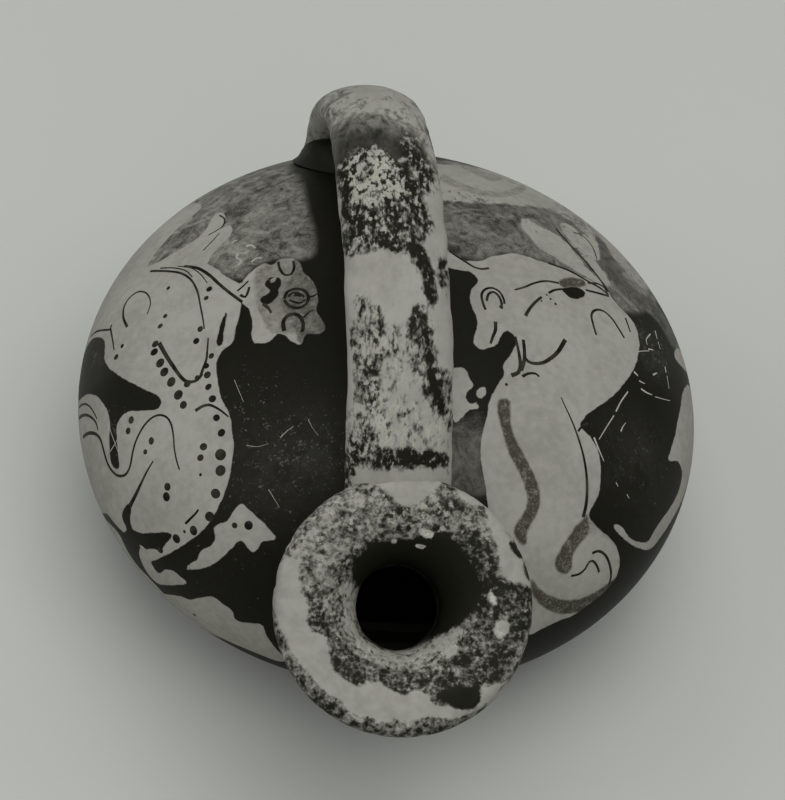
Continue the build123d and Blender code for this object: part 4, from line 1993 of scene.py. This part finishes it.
@dataclass
class Handle:
    """The strap handle, worn to the clay along one side and crusted on top. Light and shade are painted on
    its arch, along its left edge and in the crease where it meets the lip.
    """

    form: StrapForm
    station: Station
    dent_size: float = 8.0
    dent_depth: float = 0.35
    dent_level: float = 0.5
    ground: tuple[float, float] = (0.995, 0.05)
    hidden: tuple[float, float] = (0.35, 0.05)

    zones: dict[str, Zone] = field(default_factory=lambda: {
        # Painted light and shade across the strap's arch: the slip is thinned most on the top, which reads
        # as lit, and less towards a dark band.
        "arch": Zone(0.03, 0.0, (
            (306, 180), (306, 140), (316, 108), (335, 88), (355, 78), (380, 76), (405, 84), (422, 102),
            (432, 130), (438, 168), (425, 154), (405, 142), (370, 140), (345, 145), (335, 175),
        ), 1.2, 2.0),
        # Painted shade on the arch's flank, where less slip is thinned away.
        "arch_shade": Zone(0.03, 0.0, (
            (322, 165), (330, 130), (346, 118), (372, 116), (394, 120), (412, 132), (424, 156), (404, 150),
            (370, 142), (348, 148), (338, 175),
        ), 1.6, 0.7),
        # Painted shade: a dark band where the arch turns away from the light.
        "arch_band": Zone(0.03, 0.0, (
            (333, 170), (339, 143), (355, 132), (375, 130), (392, 135), (404, 148), (408, 162), (396, 164),
            (384, 152), (366, 147), (354, 155), (348, 175), (338, 185),
        ), 0.9, 0.18),
        "arch_right": Zone(0.42, 0.1, (
            (398, 138), (410, 132), (422, 145), (431, 165), (434, 190), (424, 200), (414, 185), (404, 165),
        ), 0.9),
        "left_of_crust": Zone(0.35, 0.2, (
            (337, 165), (350, 158), (356, 172), (352, 190), (358, 208), (356, 228), (355, 248), (347, 262),
            (344, 240), (341, 205),
        )),
        "crust_high": Zone(0.54, 0.56, (
            (352, 160), (364, 148), (380, 148), (390, 158), (402, 164), (408, 182), (408, 202), (390, 208),
            (372, 210), (358, 215), (350, 200), (350, 176),
        )),
        "crust_low": Zone(0.3, 0.24, (
            (354, 206), (374, 204), (394, 200), (410, 203), (416, 225), (418, 245), (402, 252), (384, 250),
            (366, 254), (352, 252), (350, 225),
        )),
        "right_streak": Zone(0.3, 0.2, (
            (404, 150), (414, 158), (424, 172), (430, 186), (424, 198), (428, 214), (432, 226), (424, 236),
            (420, 250), (410, 252), (412, 230), (406, 205), (402, 180),
        )),
        "streak_core": Zone(0.15, 0.05, (
            (411, 246), (420, 242), (425, 254), (432, 268), (436, 288), (437, 304), (431, 309), (427, 300),
            (424, 286), (418, 270), (410, 257),
        ), 0.35),
        "side_nicks": Zone(0.5, 0.1, (
            (437, 262), (447, 258), (450, 270), (447, 286), (440, 288), (437, 275),
        )),
        "left_mottle": Zone(0.66, 0.24, (
            (358, 298), (370, 300), (380, 312), (384, 330), (382, 350), (386, 365), (380, 380), (386, 395),
            (378, 408), (362, 412), (352, 398), (354, 380), (350, 368), (350, 345), (354, 322),
        ), 0.8),
        "middle_crust": Zone(0.94, 0.36, (
            (384, 330), (396, 322), (406, 335), (408, 360), (414, 385), (404, 392), (390, 388), (384, 365),
        ), 0.8),
        "right_mottle": Zone(0.62, 0.2, (
            (410, 312), (420, 304), (431, 318), (434, 345), (438, 366), (444, 386), (446, 405), (436, 412),
            (424, 398), (418, 378), (410, 360), (406, 338),
        ), 0.6),
        "right_nicks": Zone(0.66, 0.2, (
            (438, 368), (446, 366), (451, 385), (453, 410), (453, 430), (446, 432), (441, 412), (438, 390),
        )),
        "low_crust": Zone(0.95, 0.55, (
            (352, 412), (372, 406), (386, 388), (400, 386), (412, 398), (430, 412), (442, 425), (444, 446),
            (425, 452), (400, 450), (372, 452), (353, 452),
        ), 0.8),
        "low_left": Zone(0.58, 0.25, (
            (350, 410), (362, 414), (370, 428), (376, 445), (366, 456), (352, 460), (348, 440),
        )),
        "streak_line": Zone(0.08, 0.0, (
            (421, 314), (426, 314), (429, 340), (433, 362), (437, 384), (443, 400), (448, 414), (443, 417),
            (436, 405), (430, 388), (427, 364), (424, 342),
        ), 0.3),
        # Painted highlight: the slip is taken off along the strap's left edge, making the pale strip where
        # that edge catches the light.
        "left_strip": Zone(1.0, 0.05, (
            (341, 256), (350, 256), (352, 300), (351, 350), (352, 400), (345, 402), (342, 350), (341, 300),
        ), 0.35),
        # Painted shadow: more slip is kept in the crease where the strap meets the lip, so it reads as a
        # dark line of shade.
        "joint_line": Zone(0.24, 0.08, (
            (358, 458), (372, 452), (400, 448), (420, 452), (446, 453), (448, 464), (424, 467), (400, 469),
            (374, 468), (360, 466),
        ), 0.4),
        "joint_ends": Zone(0.4, 0.2, ((344, 452), (353, 455), (353, 478), (343, 478))),
    })

    def build(self, material: bpy.types.Material) -> None:
        """Makes the strap.

        Args:
            material: Its finish.
        """
        mesh = shape_mesh("worn_strap_handle", self.form.build())
        points = read_points(mesh)
        normals = read_normals(mesh)
        dents = np.clip(self.dent_level + roughness(points, self.dent_size, octaves=3), 0.0, 1.0)
        dents *= self.dent_depth
        points = points - normals * dents[:, None]
        Weathering(self.station, self.ground, self.hidden, self.zones).lay(mesh, points, normals)
        place_piece(mesh, points, material, ["strap_handle"])


@dataclass(frozen=True)
class Studio:
    """A pale floor and soft light from above and from all four sides. Sizes are in metres."""

    paper: str = "#acaea9"
    paper_half: float = 3.0
    world: str = "#ffffff"
    world_strength: float = 0.2
    aim: Place = (0.0, 0.0, 0.02)
    lamps: dict[str, Lamp] = field(default_factory=lambda: {
        "key": Lamp((0.06, -0.15, 0.92), 0.8, 5.8),
        "right": Lamp((0.65, 0.05, 0.6), 0.7, 1.2),
        "left": Lamp((-0.75, -0.1, 0.5), 0.7, 2.6),
        "front": Lamp((0.10, -0.85, 0.5), 0.7, 1.5),
        "back": Lamp((-0.05, 0.7, 0.75), 0.8, 2.0),
    })

    def light(self, name: str, lamp: Lamp) -> None:
        """Adds a light that points at the vessel.

        Args:
            name: Name of the light.
            lamp: Its place, size and power.
        """
        data = bpy.data.lights.new(name, "AREA")
        data.size = lamp.size
        data.energy = lamp.power
        light = bpy.data.objects.new(name, data)
        light.location = lamp.place
        light.rotation_euler = (Vector(self.aim) - Vector(lamp.place)).to_track_quat("-Z", "Y").to_euler()
        bpy.context.scene.collection.objects.link(light)

    def build(self) -> None:
        """Makes the floor, the world and the lights."""
        ground = bmesh.new()
        bmesh.ops.create_grid(ground, x_segments=1, y_segments=1, size=self.paper_half)
        mesh = bpy.data.meshes.new("floor")
        ground.to_mesh(mesh)
        ground.free()
        # Matt paper, pressed smooth: an even grey without shine.
        paper = PlainCoat(
            "matt_paper", self.paper, self.paper, 0.95, cloud_size=400.0, grit_size=2.0, shine=0.1
        )
        mesh.materials.append(paper.build())
        floor = bpy.data.objects.new("floor", mesh)
        bpy.context.scene.collection.objects.link(floor)
        world = bpy.data.worlds.new("studio")
        world.use_nodes = True
        backdrop = world.node_tree.nodes["Background"]
        backdrop.inputs["Color"].default_value = linear(self.world)
        backdrop.inputs["Strength"].default_value = self.world_strength
        bpy.context.scene.world = world
        for name, lamp in self.lamps.items():
            self.light(name, lamp)


def dress_node(name: str, material: bpy.types.Material) -> None:
    """Gives a CAD node that stays its finish.

    Args:
        name: The node.
        material: Its finish.
    """
    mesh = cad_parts[name].data
    mesh.materials.clear()
    mesh.materials.append(material)
    log.info("%s: %s", name, material.name)


def main() -> None:
    """Builds the vessel, its paint and the studio."""
    logging.basicConfig(level=logging.INFO, format="%(name)s %(message)s")
    bpy.context.scene.view_settings.view_transform = "Standard"
    station = Station()
    station.set_camera()
    Studio().build()

    body_form = BodyForm()
    spout_form = SpoutForm(body_form)
    picture = Picture(body_form, station)
    # Glossy black slip on burnished clay: sharp drawn edges, with fine flakes and rubbed places.
    painted = SlippedClay(
        "black_slip_on_fine_clay", flake_size=1.2, flake_soft=0.045, flake_depth=0.26, speck_size=0.3
    )
    Body(body_form, spout_form).build(painted.build(), picture)
    # Slip from a full brush, which dries as a raised black line with browner tops.
    thick = PlainCoat("thick_black_slip", "#12120d", "#36342c", 0.45, cloud_size=2.0)
    # Clay laid open by a scratch: pale, dry and matt.
    scratched = PlainCoat("scratched_bare_clay", "#9c9b92", "#807f77", 0.85, cloud_size=2.0)
    Drawing(picture).build(thick.build(), scratched.build())

    # Slip on the lip, half flaked away in soft clumps and dusted with crust, with light and shade painted
    # round its throat.
    flaked = SlippedClay("worn_slip_on_lip", slip="#161610", flake_soft=0.13, speck_size=0.6)
    Mouth(spout_form, station).build(flaked.build())
    # Slip on the strap, worn off along its length by hands, so its flakes are drawn out. Light and shade
    # are painted on its arch, its left edge and its joint with the lip.
    streaked = SlippedClay("worn_slip_on_strap", flake_size=1.7, flake_soft=0.09, speck_size=0.55)
    Handle(StrapForm(spout_form), station).build(streaked.build(stretch=(1.0, 0.55, 0.7)))

    # Slip brushed into the corners in one coat: black, with a faint shine and thin places.
    brushed = PlainCoat("brushed_black_slip", "#12120d", "#292820", 0.45).build()
    for node in ("spout_neck", "spout_coil", "handle_coil", "handle_wad"):
        dress_node(node, brushed)
    # Bare clay as the fire left it: grey, matt and a little gritty.
    dress_node("foot_disc", PlainCoat("bare_fired_clay", "#8f8e86", "#78776f", 0.8).build())


if __name__ == "__main__":
    main()
